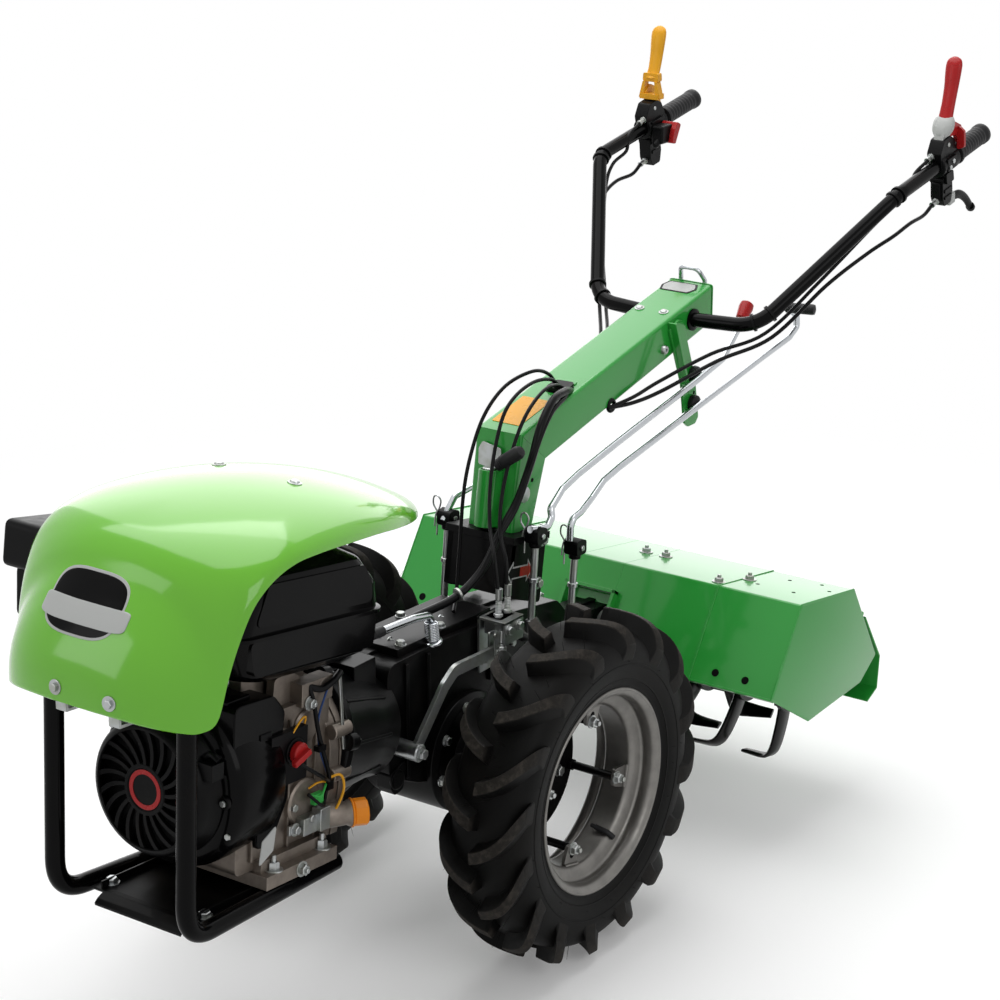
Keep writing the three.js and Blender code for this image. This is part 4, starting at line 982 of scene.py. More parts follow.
tyre_shape, tyre_rubbed = wheel_shapes()
for side, flip in SIDES:
    tyre = make_piece(
        "tyre_tread_" + side, flip(tyre_shape), TYRE, ["tyre_" + side], body="wheel_" + side, sharp=32,
        values={"rubbed": tyre_rubbed}
    )
print("tyre", len(tyre.data.polygons), "faces,", 2 * LUGS, "bars")

# %% [markdown]
# ## Rims and hubs
#
# The rim is rolled from sheet: a round flange, a seat for the bead, then a deep well. Light runs round every
# step of it, so the profile needs all its small radii. Four short plates are welded into the well, and four
# long studs hold them to the black disc of the hub.

# %% Rim
rim_half = [
    (57.6, 157.0), (55.0, 151.5), (50.5, 147.6), (42.0, 146.0), (35.5, 147.2), (31.5, 145.4), (28.8, 139.5),
    (25.5, 131.0), (20.5, 126.6), (12, 126.0),
]
rim_inside = smooth_line(rim_half + [(-x, radius) for x, radius in rim_half[::-1]], 6)


def rim_shape():
    """The inside profile, the same profile 3 mm further out, and a rolled edge at each end."""
    outside = (rim_inside + (0, 3.2))[::-1]
    shell = turned((WHEEL_X, 0, 0), LEFT, np.vstack([rim_inside, outside]), 160, ring=True)
    t = whole_turn(14)
    rolls = []
    for x in (-1, 1):
        roll = np.stack([x * 56.3 + 2.6 * np.cos(t), 159.2 + 2.6 * np.sin(t)], -1)
        rolls.append(turned((WHEEL_X, 0, 0), LEFT, roll, 160, ring=True))
    return joined(shell, *rolls)


def wheel_plate(out, side, inner, outer, half_width, narrow):
    """A flat plate with round corners that points away from the axle, narrow at its inner end."""
    inside = half_width * narrow
    outline = rounded([(inner, -inside), (outer, -half_width), (outer, half_width), (inner, inside)], 9, 6)
    return prism(outline, (PLATE_X, 0, 0), out, side, (PLATE_THICKNESS, 0, 0))


def on_wheel(x, radius, out):
    """A place at x along the axle, at a radius in the direction out."""
    return np.array([x, 0, 0]) + radius * out


PLATE_ANGLES = [math.radians(-14 + 90 * k) for k in range(4)]
PLATE_X = WHEEL_X + 12
PLATE_THICKNESS = 5.5
STUD_RADIUS = 99.5
DISC_X = 186.0
disc_profile = [
    (101, 30), (104, 33.5), (150, 33.5), (156, 30), (176, 30), (DISC_X - 2, 40), (DISC_X, 104),
    (DISC_X + 1.5, 109), (DISC_X + 6.5, 109), (DISC_X + 8, 107), (DISC_X + 8.2, 52), (DISC_X + 11, 42),
    (DISC_X + 12, 34), (210, 32), (212, 29), (212.3, 17.2),
]
rim_parts, hole_shade_parts, hub_parts, wheel_bolts = [rim_shape()], [], [], []
for angle in PLATE_ANGLES:
    out = np.array([0, math.cos(angle), math.sin(angle)])
    side = np.array([0, -math.sin(angle), math.cos(angle)])
    rim_parts.append(wheel_plate(out, side, 93, 128.5, 19, narrow=0.72))
    weld = [on_wheel(PLATE_X + 6.5, 125.0, out) + s * side for s in np.linspace(-18, 18, 9)]
    rim_parts.append(tube(weld, 2.6, 8))
    stud_ends = [on_wheel(x, STUD_RADIUS, out) for x in (DISC_X + 4, PLATE_X - 0.3)]
    nut_ends = [on_wheel(x, STUD_RADIUS, out) for x in (DISC_X + 7, DISC_X + 16)]
    hub_parts += [rod(*stud_ends, 6.5, 24, 1), rod(*nut_ends, 10, 6, 1)]
    # painted shade: a thin dark disc on each plate stands for the shade inside its hole
    hole_shade_parts.append(rod(on_wheel(PLATE_X + 5.2, 110, out), on_wheel(PLATE_X + 5.75, 110, out), 5.2, 20))
    bolt_place = on_wheel(PLATE_X + PLATE_THICKNESS, STUD_RADIUS, out)
    wheel_bolts.append(hex_bolt(bolt_place, LEFT, 15, 8, washer=10.5, stud=5))
hub_parts.append(turned((0, 0, 0), LEFT, disc_profile, 72))
wheel_bolts.append(
    ring_of(5, 68, (DISC_X + 8, 0, 0), LEFT, lambda place: hex_bolt(place, LEFT, 15, 7, washer=10), 0.6)
)
valve = joined(
    tube(
        smooth_line([(WHEEL_X + 30, 71, -113.6), (WHEEL_X + 22, 65.7, -105), (WHEEL_X + 2, 62, -99.2)], 5),
        4.6, 14
    ),
    rod((WHEEL_X + 3, 62.2, -99.4), (WHEEL_X - 5, 60.7, -97), 3.4, 12, 0.6),
)
for side, flip in SIDES:
    body = "wheel_" + side
    make_piece(
        "rim_" + side + "_rolled", flip(joined(*rim_parts)), RIM_SILVER, ["rim_" + side], body=body,
        sharp=34
    )
    # painted shade: the dark discs that stand for the plate holes of this wheel
    make_piece("rim_" + side + "_hole_shade", flip(joined(*hole_shade_parts)), HOLE_SHADE, body=body)
    make_piece(
        "hub_" + side + "_arms", flip(joined(*hub_parts)), BLACK_CAST, ["hub_" + side], body=body, bevel=0.8
    )
    make_piece("wheel_bolts_" + side, flip(joined(*wheel_bolts)), ZINC, body=body, bevel=0.4)
    make_piece("valve_" + side, flip(valve), GRIP, body=body)
print("rims and hubs with", len(PLATE_ANGLES), "plates and studs each")

# %% [markdown]
# ## The engine
#
# The engine is tilted a few degrees nose up, so it is modelled level in its own frame, whose origin is the
# crankshaft at its rear face, and one function tilts every shape. What shows is the cast crankcase with its
# split flange, the finned cylinder that leans to the right, the black fan cover with its pull starter,
# and the pressed tank with a seam round its middle.

# %% Crankcase
ENGINE_PITCH = math.radians(-5)
CRANK_REAR = (0, -330, 143)


def on_engine(*shapes):
    """Shapes of the level engine, tilted about the rear end of its crankshaft and put in their place."""
    return moved(joined(*shapes), ENGINE_PITCH, CRANK_REAR)


def across(outline, y0, y1):
    """An outline of (x, z) points carried along the machine from y0 to y1."""
    return prism(outline, (0, y0, 0), LEFT, UP, (0, y1 - y0, 0))


def case_outline(grow=0.0):
    """The flange: a half circle over the crankshaft on straight sides that draw in towards the feet."""
    t = np.linspace(0, np.pi, 25)
    arch = np.stack([(99 + grow) * np.cos(t), (94 + grow) * np.sin(t)], -1)
    return np.vstack([arch, [(-99 - grow, -58), (-86 - grow, -135), (86 + grow, -135), (99 + grow, -58)]])


EARS = [
    (0.30, 101), (0.95, 99), (1.62, 95), (2.25, 99), (2.85, 101), (-0.35, 103), (-0.78, 117), (-2.36, 117),
    (-2.79, 103)
]
ear_places = [(radius * math.cos(t), radius * math.sin(t)) for t, radius in EARS]
case_parts = [
    soft_plate([(-236, -135), (-60, -135), (-38, -100), (-38, 88), (-236, 88)], 12, -86, 86),
    across(case_outline(-2), -46, -26),
    across(case_outline(0), -25, -9),
    turned((0, -10, 0), BACK, [(0, 92), (6, 91), (9.6, 86)], 64),
    block((-116, -202, -157), (116, -46, -137)),
    block((-100, -196, -138), (-80, -52, -120)),
    block((80, -196, -138), (100, -52, -120)),
    rod((80, -150, 22), (93, -150, 22), 40, 48, 3),
    rod((80, -92, 50), (91, -92, 50), 26, 40, 3),
    rod((80, -186, -58), (92, -186, -58), 30, 40, 3),
    rod((80, -96, -62), (95, -96, -62), 36, 40, 3),
    block((70, -112, 84), (96, -44, 118)),
    turned((97, -62, 106), LEFT, [(-9, 12), (-1, 12), (0, 11), (0, 6), (-9, 6)], 28, ring=True),
    side_plate([(-196, 80), (-52, 80), (-60, 150), (-190, 160)], 30, 52),
    soft_plate([(-150, 86), (-96, 86), (-88, 118), (-108, 132), (-146, 130)], 8, 60, 74),
]
case_parts += [rod((x, -46, z), (x, -7, z), 11.5, 24, 1.2) for x, z in ear_places]
case_parts += [block((85, y - 2, -120), (91, y + 2, 70)) for y in (-206, -128, -70)]
NECK_WAY = (26, 34, 2)
neck = turned((92, -52, -96), NECK_WAY, [(-12, 22), (6, 19), (34, 17), (38, 19.5), (44, 19.5)], 32)
make_piece("crankcase", on_engine(*case_parts), ALUMINIUM, ["engine_block"], bevel=2.4, segments=3)
make_piece("oil_neck", on_engine(neck), ALUMINIUM, ["oil_filler"])
cap = joined(
    turned((118.7, -17, -94), NECK_WAY, [(0, 19), (2, 20.5), (20, 20.5), (22, 18), (22.4, 8)], 10),
    turned((118.7, -17, -94), NECK_WAY, [(-3, 21.6), (0, 21.6)], 40),
)
make_piece("oil_cap", on_engine(cap), ORANGE, bevel=1.2)
drain = [hex_bolt((116, -126, -147), LEFT, 15, 8, washer=12, stud=3)]
feet_nuts = [hex_bolt((x, y, -137), UP, 15, 11, washer=14, stud=9) for x in (-103, 103) for y in (-173, -66)]
flange_bolts = [hex_bolt((x, -7, z), BACK, 11, 5, washer=9) for x, z in ear_places]
side_places = [(91, -118, 22), (91, -182, 22), (93, -70, -62), (93, -122, -62), (91, -186, -84)]
side_bolts = [hex_bolt(place, LEFT, 11, 5, washer=8) for place in side_places]
engine_bolts = drain + feet_nuts + flange_bolts + side_bolts
print("crankcase with", len(EARS), "ears")

# %% [markdown]
# ## The cylinder
#
# An air-cooled cylinder is a barrel with thin fins across its bore. An array modifier could repeat one fin;
# a loop over distances along the bore also sets the head and its bolts on the same axis.

# %% Cylinder and head
BORE_LEAN = math.radians(25)
BORE_START = np.array([0, -120, 34])
bore_axis = np.array([-math.cos(BORE_LEAN), 0, math.sin(BORE_LEAN)])
bore_side = np.array([math.sin(BORE_LEAN), 0, math.cos(BORE_LEAN)])


def on_bore(distance, thickness, half_y, half_side, radius=10):
    """A flat plate with round corners, square to the bore, at a distance from the crankshaft."""
    outline = rounded(
        [(-half_y, -half_side), (half_y, -half_side), (half_y, half_side), (-half_y, half_side)], radius
    )
    origin = BORE_START + distance * bore_axis
    return prism(outline, origin, BACK, bore_side, thickness * bore_axis)


fins = [on_bore(distance, 3.0, 62, 57) for distance in range(84, 172, 9)]
barrel = [on_bore(50, 128, 50, 44, 24), on_bore(174, 16, 60, 55, 14), on_bore(191, 11, 46, 42, 10)]
make_piece("cylinder_fins", on_engine(*fins, *barrel), ALUMINIUM, bevel=0.9)
intake_pipe = [
    block((-200, -258, 112), (-144, -176, 210)), rod((-172, -176, 150), (-172, -140, 120), 20, 28, 2),
    rod((-206, -220, 132), (-192, -220, 132), 22, 32, 2)
]
make_piece("intake_body", on_engine(*intake_pipe), ALUMINIUM, bevel=3, segments=3)
head_places = [BORE_START + (0, y, 0) + 201 * bore_axis + s * bore_side for y in (-36, 36) for s in (-32, 32)]
engine_bolts += [hex_bolt(place, bore_axis, 11, 5) for place in head_places]

# %% [markdown]
# ## Fan cover and pull starter
#
# A drum with a slotted disc hides the fan. The drum is one profile turned about the crankshaft. The slots
# could be cut with booleans; curved vanes laid round a hub leave cleaner edges for the bevel.

# %% Fan cover and pull starter
FAN_Y = -236.3
STARTER_Y = FAN_Y - 47.7
VANES = 20
LUG_RING = 108
cover_profile = [
    (-72, 84), (-70, 108), (-66, 119), (-58, 124), (0, 127.5), (24, 127.5), (34, 125), (42, 119), (46, 112),
    (47.7, 104), (47.7, 90)
]
inner_profile = [(42, 90), (40, 110), (26, 121), (-56, 118), (-62, 84)]
fan_parts = [
    turned((0, FAN_Y, 0), FRONT, cover_profile + inner_profile, 128, ring=True),
    soft_plate([(-268, 128), (-268, 20), (-168, 20), (-160, 96), (-184, 124)], 16, 62, 106, 6),
    soft_plate([(-262, 126), (-262, 40), (-238, 40), (-238, 126)], 8, -112, -84, 6),
    soft_plate([(-206, 30), (-156, 40), (-136, 10), (-140, -44), (-170, -96), (-206, -104)], 14, 70, 98, 6),
    block((-104, -262, 112), (88, -214, 130)),
]
make_piece("fan_cover", on_engine(*fan_parts), BLACK_GLOSS, ["blower_housing"], bevel=2.5, segments=3)
shell_profile = [
    (0, 104), (3, 104), (6, 101.5), (24, 99), (38, 95.5), (43.5, 91), (45.8, 85.5), (42.5, 84), (38, 88),
    (4, 96), (0, 96)
]
starter_parts = [
    turned((0, STARTER_Y, 0), FRONT, shell_profile, 128, ring=True),
    turned(
        (0, STARTER_Y, 0), FRONT, [(34, 37), (43, 37), (44.6, 35.5), (44.6, 31), (42.4, 29.5), (42.4, 0.5)],
        96
    ),
    turned((0, STARTER_Y, 0), FRONT, [(24, 95), (26, 95), (26, 0.5)], 64),
]


def vane(turn, y0, y1):
    """A curved bar from the hub to the rim of the starter, like a blade of a fan."""
    s = np.linspace(0, 1, 7)
    radius = 33 + 54 * s
    angle = turn + 0.30 * s**1.4
    half = 2.6 + 1.5 * s
    left = np.stack(
        [radius * np.cos(angle) + half * np.sin(angle), radius * np.sin(angle) - half * np.cos(angle)], -1
    )
    right = np.stack(
        [radius * np.cos(angle) - half * np.sin(angle), radius * np.sin(angle) + half * np.cos(angle)], -1
    )
    return across(np.vstack([left, right[::-1]]), y0, y1)


starter_parts += [vane(2 * np.pi * k / VANES, STARTER_Y - 43.8, STARTER_Y - 36) for k in range(VANES)]
lug_profile = [(-0.5, 9.5), (4, 9.5), (5.5, 8)]
starter_parts += [
    ring_of(3, LUG_RING, (0, STARTER_Y, 0), FRONT, lambda place: turned(place, FRONT, lug_profile, 24), 0.5)
]
starter_parts += [
    block((80, STARTER_Y - 30, 34), (107.6, STARTER_Y - 5, 58)),
    tube(
        smooth_line([(84, STARTER_Y - 16, 62), (96, STARTER_Y - 17, 68), (107, STARTER_Y - 16, 62)], 6),
        5.5, 12
    ),
]
make_piece("pull_starter", on_engine(*starter_parts), BLACK_SATIN, ["recoil_starter"], bevel=0.7)
label = rounded([(-226, -112), (-196, -96), (-190, -60), (-220, -76)], 3, 3)
make_piece("label_blank", on_engine(side_plate(label, 119.5, 120.7)), PALE)
red_ring = turned(
    (0, STARTER_Y - 42.2, 0), FRONT, [(0, 22), (0.9, 22), (0.9, 28.6), (0, 28.6)], 72, ring=True
)
make_piece("starter_ring", on_engine(red_ring), RED)
engine_bolts += [
    ring_of(3, LUG_RING, (0, STARTER_Y - 5.4, 0), FRONT, lambda place: hex_bolt(place, FRONT, 9, 4), 0.5)
]
engine_bolts += [
    ring_of(4, 120, (0, FAN_Y - 41.5, 0), FRONT, lambda place: hex_bolt(place, FRONT, 9, 3), 1.1)
]
print("fan cover and starter with", VANES, "vanes")

# %% [markdown]
# ## The tank
#
# The tank is two pressings with a seam. Its sections seen from above are rectangles with round corners that
# grow and shrink with height, so each level is six numbers: height, two ends in x, two ends in y and the
# corner radius. Rounding the *list of levels* like a bent bar gives soft edges between floor, sides and top.

# %% Tank and what stands beside it


def level_rings(levels, slope, middle_y, corner_steps=8):
    """For each level, a rectangle in plan with quarter circles at its corners; z follows y by the slope."""
    levels = np.asarray(levels, float)
    quarter = np.linspace(0, np.pi / 2, corner_steps)
    angles = np.concatenate([quarter + k * np.pi / 2 for k in range(4)])
    right = np.repeat([True, False, False, True], corner_steps)
    rear = np.repeat([True, True, False, False], corner_steps)
    z, x0, x1, y0, y1, radius = (column[:, None] for column in levels.T)
    x = np.where(right, x1 - radius, x0 + radius) + radius * np.cos(angles)
    y = np.where(rear, y1 - radius, y0 + radius) + radius * np.sin(angles)
    return np.stack([x, y, z + slope * (y - middle_y)], -1)


lower_levels = bent_line(
    [
        (146, -40, 84, -222, -34, 40), (147, -62, 108, -246, -14, 40), (162, -88, 128, -268, 10, 34),
        (218, -90, 132, -296, 22, 32)
    ],
    9, 6
)
upper_levels = bent_line(
    [
        (223, -90, 132, -298, 24, 32), (262, -91, 133, -286, 16, 32), (300, -90, 130, -262, -18, 34),
        (322, -60, 104, -236, -64, 36), (330, -30, 76, -210, -90, 36)
    ], 12, 6
)
lip_levels = [
    (217.4, -95, 137, -303, 28, 36), (218, -97, 138.6, -305, 29.5, 37), (223, -97, 138.6, -305, 29.5, 37),
    (223.6, -95, 137, -303, 28, 36)
]
tank_parts = [
    rows_shape(level_rings(levels, -0.07, -140)) for levels in (lower_levels, upper_levels, lip_levels)
]
tank_parts.append(
    soft_plate([(-262, 244), (-8, 226), (-12, 258), (-30, 284), (-236, 300)], 10, 126, 134.2, 5)
)
tank_parts.append(soft_plate([(-262, 176), (-2, 158), (4, 206), (-272, 226)], 10, 120, 133.4, 5))
make_piece("tank", on_engine(*tank_parts), BLACK_GLOSS, ["fuel_tank"], sharp=48)
lid = turned(
    (20, -130, 334), (0, -0.07, 1), [(-10, 34), (8, 35), (12, 35.6), (19, 34.6), (22, 31), (22.6, 20)], 18
)
make_piece("tank_lid", on_engine(lid), BLACK_SATIN, ["fuel_cap"], bevel=1.5)
air_box = joined(
    soft_plate([(-302, 250), (-192, 236), (-192, 306), (-296, 318)], 12, -300, -150, 5),
    soft_plate([(-288, 176), (-200, 176), (-200, 240), (-288, 252)], 10, -286, -160, 5),
)
make_piece("air_cleaner_box", on_engine(air_box), BLACK_PLASTIC, ["air_cleaner"], bevel=6, segments=4)
softened_copy("silencer", BLACK_SATIN, 7, 4)
# painted shade: thin dark strips on the silencer stand for the shade inside its slots
slots = [block((-259.2, y, 190), (-257.4, y + 5, 248)) for y in range(-140, -25, 12)]
make_piece("silencer_slot_shade", on_engine(*slots), HOLE_SHADE)
engine_bolts.append(hex_bolt((-300, -246, 278), (-1, 0, 0), 11, 6, washer=11))
print("tank levels:", len(lower_levels) + len(upper_levels))

# %% [markdown]
# ## Small parts on the engine's side
#
# The side that faces the driver's left carries a red switch in a black box, a few thin wires, clips and a
# cable. They are what makes an engine look like one, and all of them are rods, blocks and tubes.

# %% Switch, wires and brackets
panel = [
    block((101, -196, -12), (113, -118, 66)), block((96, -214, 30), (108, -190, 74)),
    rod((112, -146, 34), (116, -146, 34), 20, 32, 1)
]
make_piece("switch_box", on_engine(*panel), BLACK_PLASTIC, bevel=2.5, segments=3)
knob = [
    rod((115, -146, 34), (127, -146, 34), 15.5, 32, 2),
    moved(block((126, -20, -4.5), (134, 16, 4.5)), 0.35, (0, -149, 31))
]
make_piece("switch_knob", on_engine(*knob), RED, bevel=1.2)


def wire(points, radius=1.5, sides=8):
    """A thin tube on a smooth line through its points."""
    return tube(smooth_line(points, 6), radius, sides)


yellow_wires = [
    wire([(112, -150, 62), (114, -135, 78), (108, -118, 76), (104, -116, 60)]),
    wire([(104, -60, -34), (114, -42, -30), (118, -38, -52), (110, -46, -84), (104, -62, -96)], 2.0),
    wire([(108, -106, -34), (116, -98, -26), (112, -80, -30), (106, -66, -36)]),
]
make_piece("wires_yellow", on_engine(*yellow_wires), YELLOW)
WIRE_GREEN = moulded("wire_green", (0.05, 0.42, 0.08))
green_wires = [
    wire([(108, -100, -46), (114, -86, -50), (110, -72, -42), (104, -60, -36)], 1.8),
    block((104, -96, -62), (112, -76, -46))
]
make_piece("wires_green", on_engine(*green_wires), WIRE_GREEN)
WIRE_BLUE = moulded("wire_blue", (0.02, 0.05, 0.16))
blue_wires = [
    wire(
        [(98, -52, 108), (104, -72, 92), (104, -84, 62), (104, -80, 20), (106, -64, -20), (106, -58, -34)],
        1.6
    )
]
make_piece("wires_blue", on_engine(*blue_wires), WIRE_BLUE)
black_wires = [
    wire(
        [(92, -96, 116), (100, -92, 92), (105, -86, 50), (107, -74, 10), (108, -62, -22), (108, -60, -40)],
        3.4, 12
    ),
    wire([(110, -130, 10), (118, -108, -6), (118, -84, -22), (110, -64, -34)], 3.0, 12),
    wire([(98, -30, 118), (104, -52, 112), (100, -74, 104), (92, -96, 112)], 5.0, 12),
    wire([(112, -112, -40), (122, -92, -60), (112, -74, -62), (106, -62, -46)], 2.4, 10),
    block((102, -90, 16), (112, -74, 24)),
    block((104, -66, -48), (112, -54, -34)),
]
make_piece("wires_black", on_engine(*black_wires), SHEATH)
clips = [
    block((95, -116, -104), (110, -72, -78)),
    block((99, -86, -104), (116, -64, -70)),
    block((95, -136, -100), (100, -112, -86)),
    side_plate([(-40, 118), (-34, 118), (-18, 0), (-24, 0)], 101, 104),
]
make_piece("engine_brackets", on_engine(*clips), ZINC, bevel=1.0)
engine_bolts += [hex_bolt((100, -124, -93), LEFT, 12, 6, washer=10), hex_bolt((110, -100, -80), LEFT, 10, 5)]
engine_bolts += [hex_bolt((97, -96, 88), LEFT, 13, 7, washer=11, stud=3)]
make_piece("engine_fasteners", on_engine(*engine_bolts), ZINC, bevel=0.35)
print(len(engine_bolts), "groups of engine bolts")

# %% [markdown]
# ## Gearbox, guard and the parts between
#
# A casting is read by its flanges: a seam where two halves meet, ears with bolts along it, ribs, bosses.
# The same few helpers place them: a plate from a side outline, a cylinder, a ring of bolts.

# %% Clutch housing and gearbox
DRIVE_RADIUS = 97
DRIVE_HALF = 77
CASE_HALF = 62


def outline_grown(outline, by):
    """The outline moved outwards: each corner goes along the sum of the normals of its two edges."""
    points = np.array(outline, float)
    edges = np.roll(points, -1, 0) - points
    normals = np.stack([edges[:, 1], -edges[:, 0]], -1) / np.linalg.norm(edges, axis=1)[:, None]
    out = normals + np.roll(normals, 1, 0)
    turn_sign = np.sign(
        np.sum(points[:, 0] * np.roll(points[:, 1], -1) - points[:, 1] * np.roll(points[:, 0], -1))
    )
    return points + turn_sign * by * out / (1 + np.sum(normals * np.roll(normals, 1, 0), 1))[:, None]


BELL_START = np.array([0, -351, 142])
BELL_RING = 106
BELL_RIBS = 10
bell_axis = np.array([0, 140, -33.0]) / math.hypot(140, 33)
bell = [
    turned(
        BELL_START, bell_axis,
        [(0, 104), (3, 109), (16, 109), (19, 104), (30, 101), (80, 96), (118, 90), (142, 86), (160, 86)], 72
    ),
    ring_of(
        6, BELL_RING, BELL_START, bell_axis,
        lambda place: turned(place, bell_axis, [(1, 13), (18, 13), (20, 11)], 24), 0.4
    ),
    block((-30, -258, 150), (50, -206, 226)),
]
side, up = cross_axes(bell_axis)[1:]
for k in range(BELL_RIBS):
    angle = 2 * math.pi * k / BELL_RIBS + 0.25
    out = math.cos(angle) * side + math.sin(angle) * up
    across_out = np.cross(bell_axis, out)
    foot = BELL_START + 22 * bell_axis + 88 * out - 2.5 * across_out
    bell.append(prism([(0, 0), (112, -6), (112, 2), (0, 17)], foot, bell_axis, out, 5 * across_out))
make_piece("clutch_bell", bell, BLACK_CAST, ["clutch_housing"], bevel=2.2, segments=3)

case_side = [
    (-190, 24), (-120, -10), (-63, -28), (60, -84), (230, -50), (300, 10), (300, 128), (262, 168),
    (150, 186), (-40, 202), (-190, 205)
]
soft_side = rounded(case_side, 26, 7)
lid_side = [(-150, 203), (-150, 217), (90, 208), (90, 185)]
gear_parts = [
    side_plate(soft_side, -CASE_HALF + 3, CASE_HALF - 3),
    soft_plate(outline_grown(case_side, 5), 30, -9, 9, 7),
    side_plate(lid_side, -48, 48),
    rod((-DRIVE_HALF, 0, 0), (DRIVE_HALF, 0, 0), DRIVE_RADIUS, 96, 9),
    turned(
        (0, 0, 0), LEFT,
        [(-110, 34), (-106, 44), (-77, 50), (-76, 66), (76, 66), (77, 50), (106, 44), (110, 34)], 64
    ),
    soft_plate([(-189, 6), (-180, -8), (-158, -4), (-148, 42), (-189, 32)], 9, 34, CASE_HALF),
    rod((CASE_HALF - 4, -174, 17), (CASE_HALF + 3, -174, 17), 16, 32, 2),
    rod((-CASE_HALF - 7, 120, 120), (CASE_HALF + 7, 120, 120), 38, 56, 4),
    rod((-CASE_HALF - 5, 236, 60), (CASE_HALF + 5, 236, 60), 44, 56, 4),
    rod((0, 286, 66), (0, 300, 66), 68, 56, 3),
]
ribs = [(-150, 10, 196), (-96, 70, 196), (66, 96, 190), (190, -46, 170)]
gear_parts += [block((-CASE_HALF - 2, y, low), (CASE_HALF + 2, y + 7, high)) for y, low, high in ribs]
make_piece("gear_case", gear_parts, BLACK_CAST, ["gearbox"], bevel=2.6, segments=3)
shafts = [rod((-206, 0, 0), (206, 0, 0), 15.8, 40, 2), rod((-118, 0, 0), (118, 0, 0), 25, 6, 1.5)]
make_piece("wheel_axle", shafts, SHAFT, bevel=0.8)
case_bolts = [
    both_sides(
        ring_of(8, 84, (DRIVE_HALF, 0, 0), LEFT, lambda place: hex_bolt(place, LEFT, 13, 6, washer=9), 0.2)
    )
]
seam_spots = [(-196, 60), (-196, 150), (-120, 210), (10, 204), (306, 70), (280, 158), (120, -80), (-30, -52)]
case_bolts += [both_sides(hex_bolt((9, y, z), LEFT, 13, 6, washer=9)) for y, z in seam_spots]
case_bolts += [
    both_sides(hex_bolt((CASE_HALF + 7, 120 + dy, 120 + dz), LEFT, 11, 5))
    for dy, dz in ((-24, 0), (24, 0), (0, -24), (0, 24))
]
case_bolts += [
    hex_bolt((x, y, z), (0, 0.04, 1), 13, 6, washer=9)
    for x in (-38, 38) for y, z in ((-130, 216), (-30, 212))
]
case_bolts += [
    ring_of(
        6, BELL_RING, BELL_START + 20 * bell_axis, bell_axis,
        lambda place: hex_bolt(place, bell_axis, 13, 8), 0.4
    )
]
make_piece("case_bolts", case_bolts, ZINC, bevel=0.35)
print("bell, gear case and", len(case_bolts), "groups of bolts")

# %% [markdown]
# ## Guard and skid plate
#
# The engine hangs over a guard of bent tube with a sheet under it. A curve object with a bevel would draw
# the tube; a path with rounded corners carries the same ring and keeps every bend in one list.

# %% Guard and skid plate
GUARD_X, GUARD_TOP = 120, 318
guard_path = bent_line([(GUARD_X, -696, GUARD_TOP), (GUARD_X, -718, 4), (GUARD_X - 22, -372, -25)], 56, 18)
guard_tubes = both_sides(tube(guard_path, 14, 32))
make_piece("guard_tubes", guard_tubes, BLACK_GLOSS, ["guard_tube_left", "guard_tube_right"], sharp=60)
plate_top = [(-684, -12), (-678, -7), (-664, -1.2), (-656, -0.8), (-370, -25)]
plate_line = bent_line([(0, y, z) for y, z in plate_top], 8, 6)[:, 1:]
plate_under = plate_line + (0.6, -4)
skid = side_plate(np.vstack([plate_line, plate_under[::-1]]), -79.5, 79.5)
skid_wide = side_plate(np.vstack([plate_line[8:], plate_under[:7:-1]]), -98, 98)
flanges = both_sides(prism([(0, 0), (290, -23.5), (290, -13), (0, 11)], (84, -662, -1), BACK, UP, (3, 0, 0)))
make_piece("skid_sheet", [skid, skid_wide, flanges], BLACK_SATIN, ["skid_plate"], bevel=1.0)
tab_side = rounded([(-778, 326), (-697, 318), (-697, 322), (-773, 330), (-773, 372), (-778, 372)], 1.5, 2)
bracket_tabs = [side_plate(tab_side, x - 9, x + 9) for x in (-26, 68)]
bracket_bar = prism(
    rounded([(-134, -16), (134, -16), (134, 16), (-134, 16)], 12), (0, -697, 318), LEFT, BACK, (0, 0, 4)
)
make_piece("bonnet_bracket_sheet", [bracket_bar, *bracket_tabs], ZINC, ["bonnet_bracket"], bevel=0.8)
guard_bolts = [both_sides(hex_bolt((GUARD_X, -696, 323), UP, 15, 7, washer=11))]
guard_bolts += [
    both_sides(hex_bolt((GUARD_X - 34, y, z), (0, -0.08, 1), 15, 7, washer=11))
    for y, z in ((-640, -1.5), (-420, -20))
]
make_piece("guard_bolts", guard_bolts, ZINC, bevel=0.35)
softened_copy("bonnet_strap", ZINC, 0.8, 2)
print("guard tubes", len(guard_path), "rings")

# %% [markdown]
# ## The turret
#
# The column turns on a short stand of plate. It is built upright and leant back by one function. The
# two-way arrow on its wall could be a texture; three thin sheets keep its edges sharp from close by.

# %% Turret with its arrow
LEAN_BACK = math.radians(9.5)
COLUMN_Y, COLUMN_Z = 192, 304  # the foot of the column


def on_column(*shapes):
    """Upright shapes about the foot of the column, leant back and stood on the gearbox."""
    return moved(joined(*shapes), -LEAN_BACK, (0, COLUMN_Y, COLUMN_Z))


wall = rounded([(-62, -98), (34, -118), (34, -1), (-62, -1)], 7)
turret_parts = [
    prism(wall, (50, 0, 0), BACK, UP, (12, 0, 0)),
    prism(wall, (-62, 0, 0), BACK, UP, (12, 0, 0)),
    block((-66, -64, -12), (66, 38, 0)),
    block((-62, -62, -96), (62, -50, -2)),
    rod((0, -6, -2), (0, -6, 4), 44, 48, 2),
]
make_piece("turret_body", on_column(*turret_parts), BLACK_SATIN, ["turret"], bevel=3.2, segments=3)


def flat_on_turret(outline, height):
    """A thin sheet on the left wall of the turret, from (y, z) points about the middle of the sign."""
    return on_column(prism(outline, (62.2, -34, -58), BACK, UP, (height, 0, 0)))


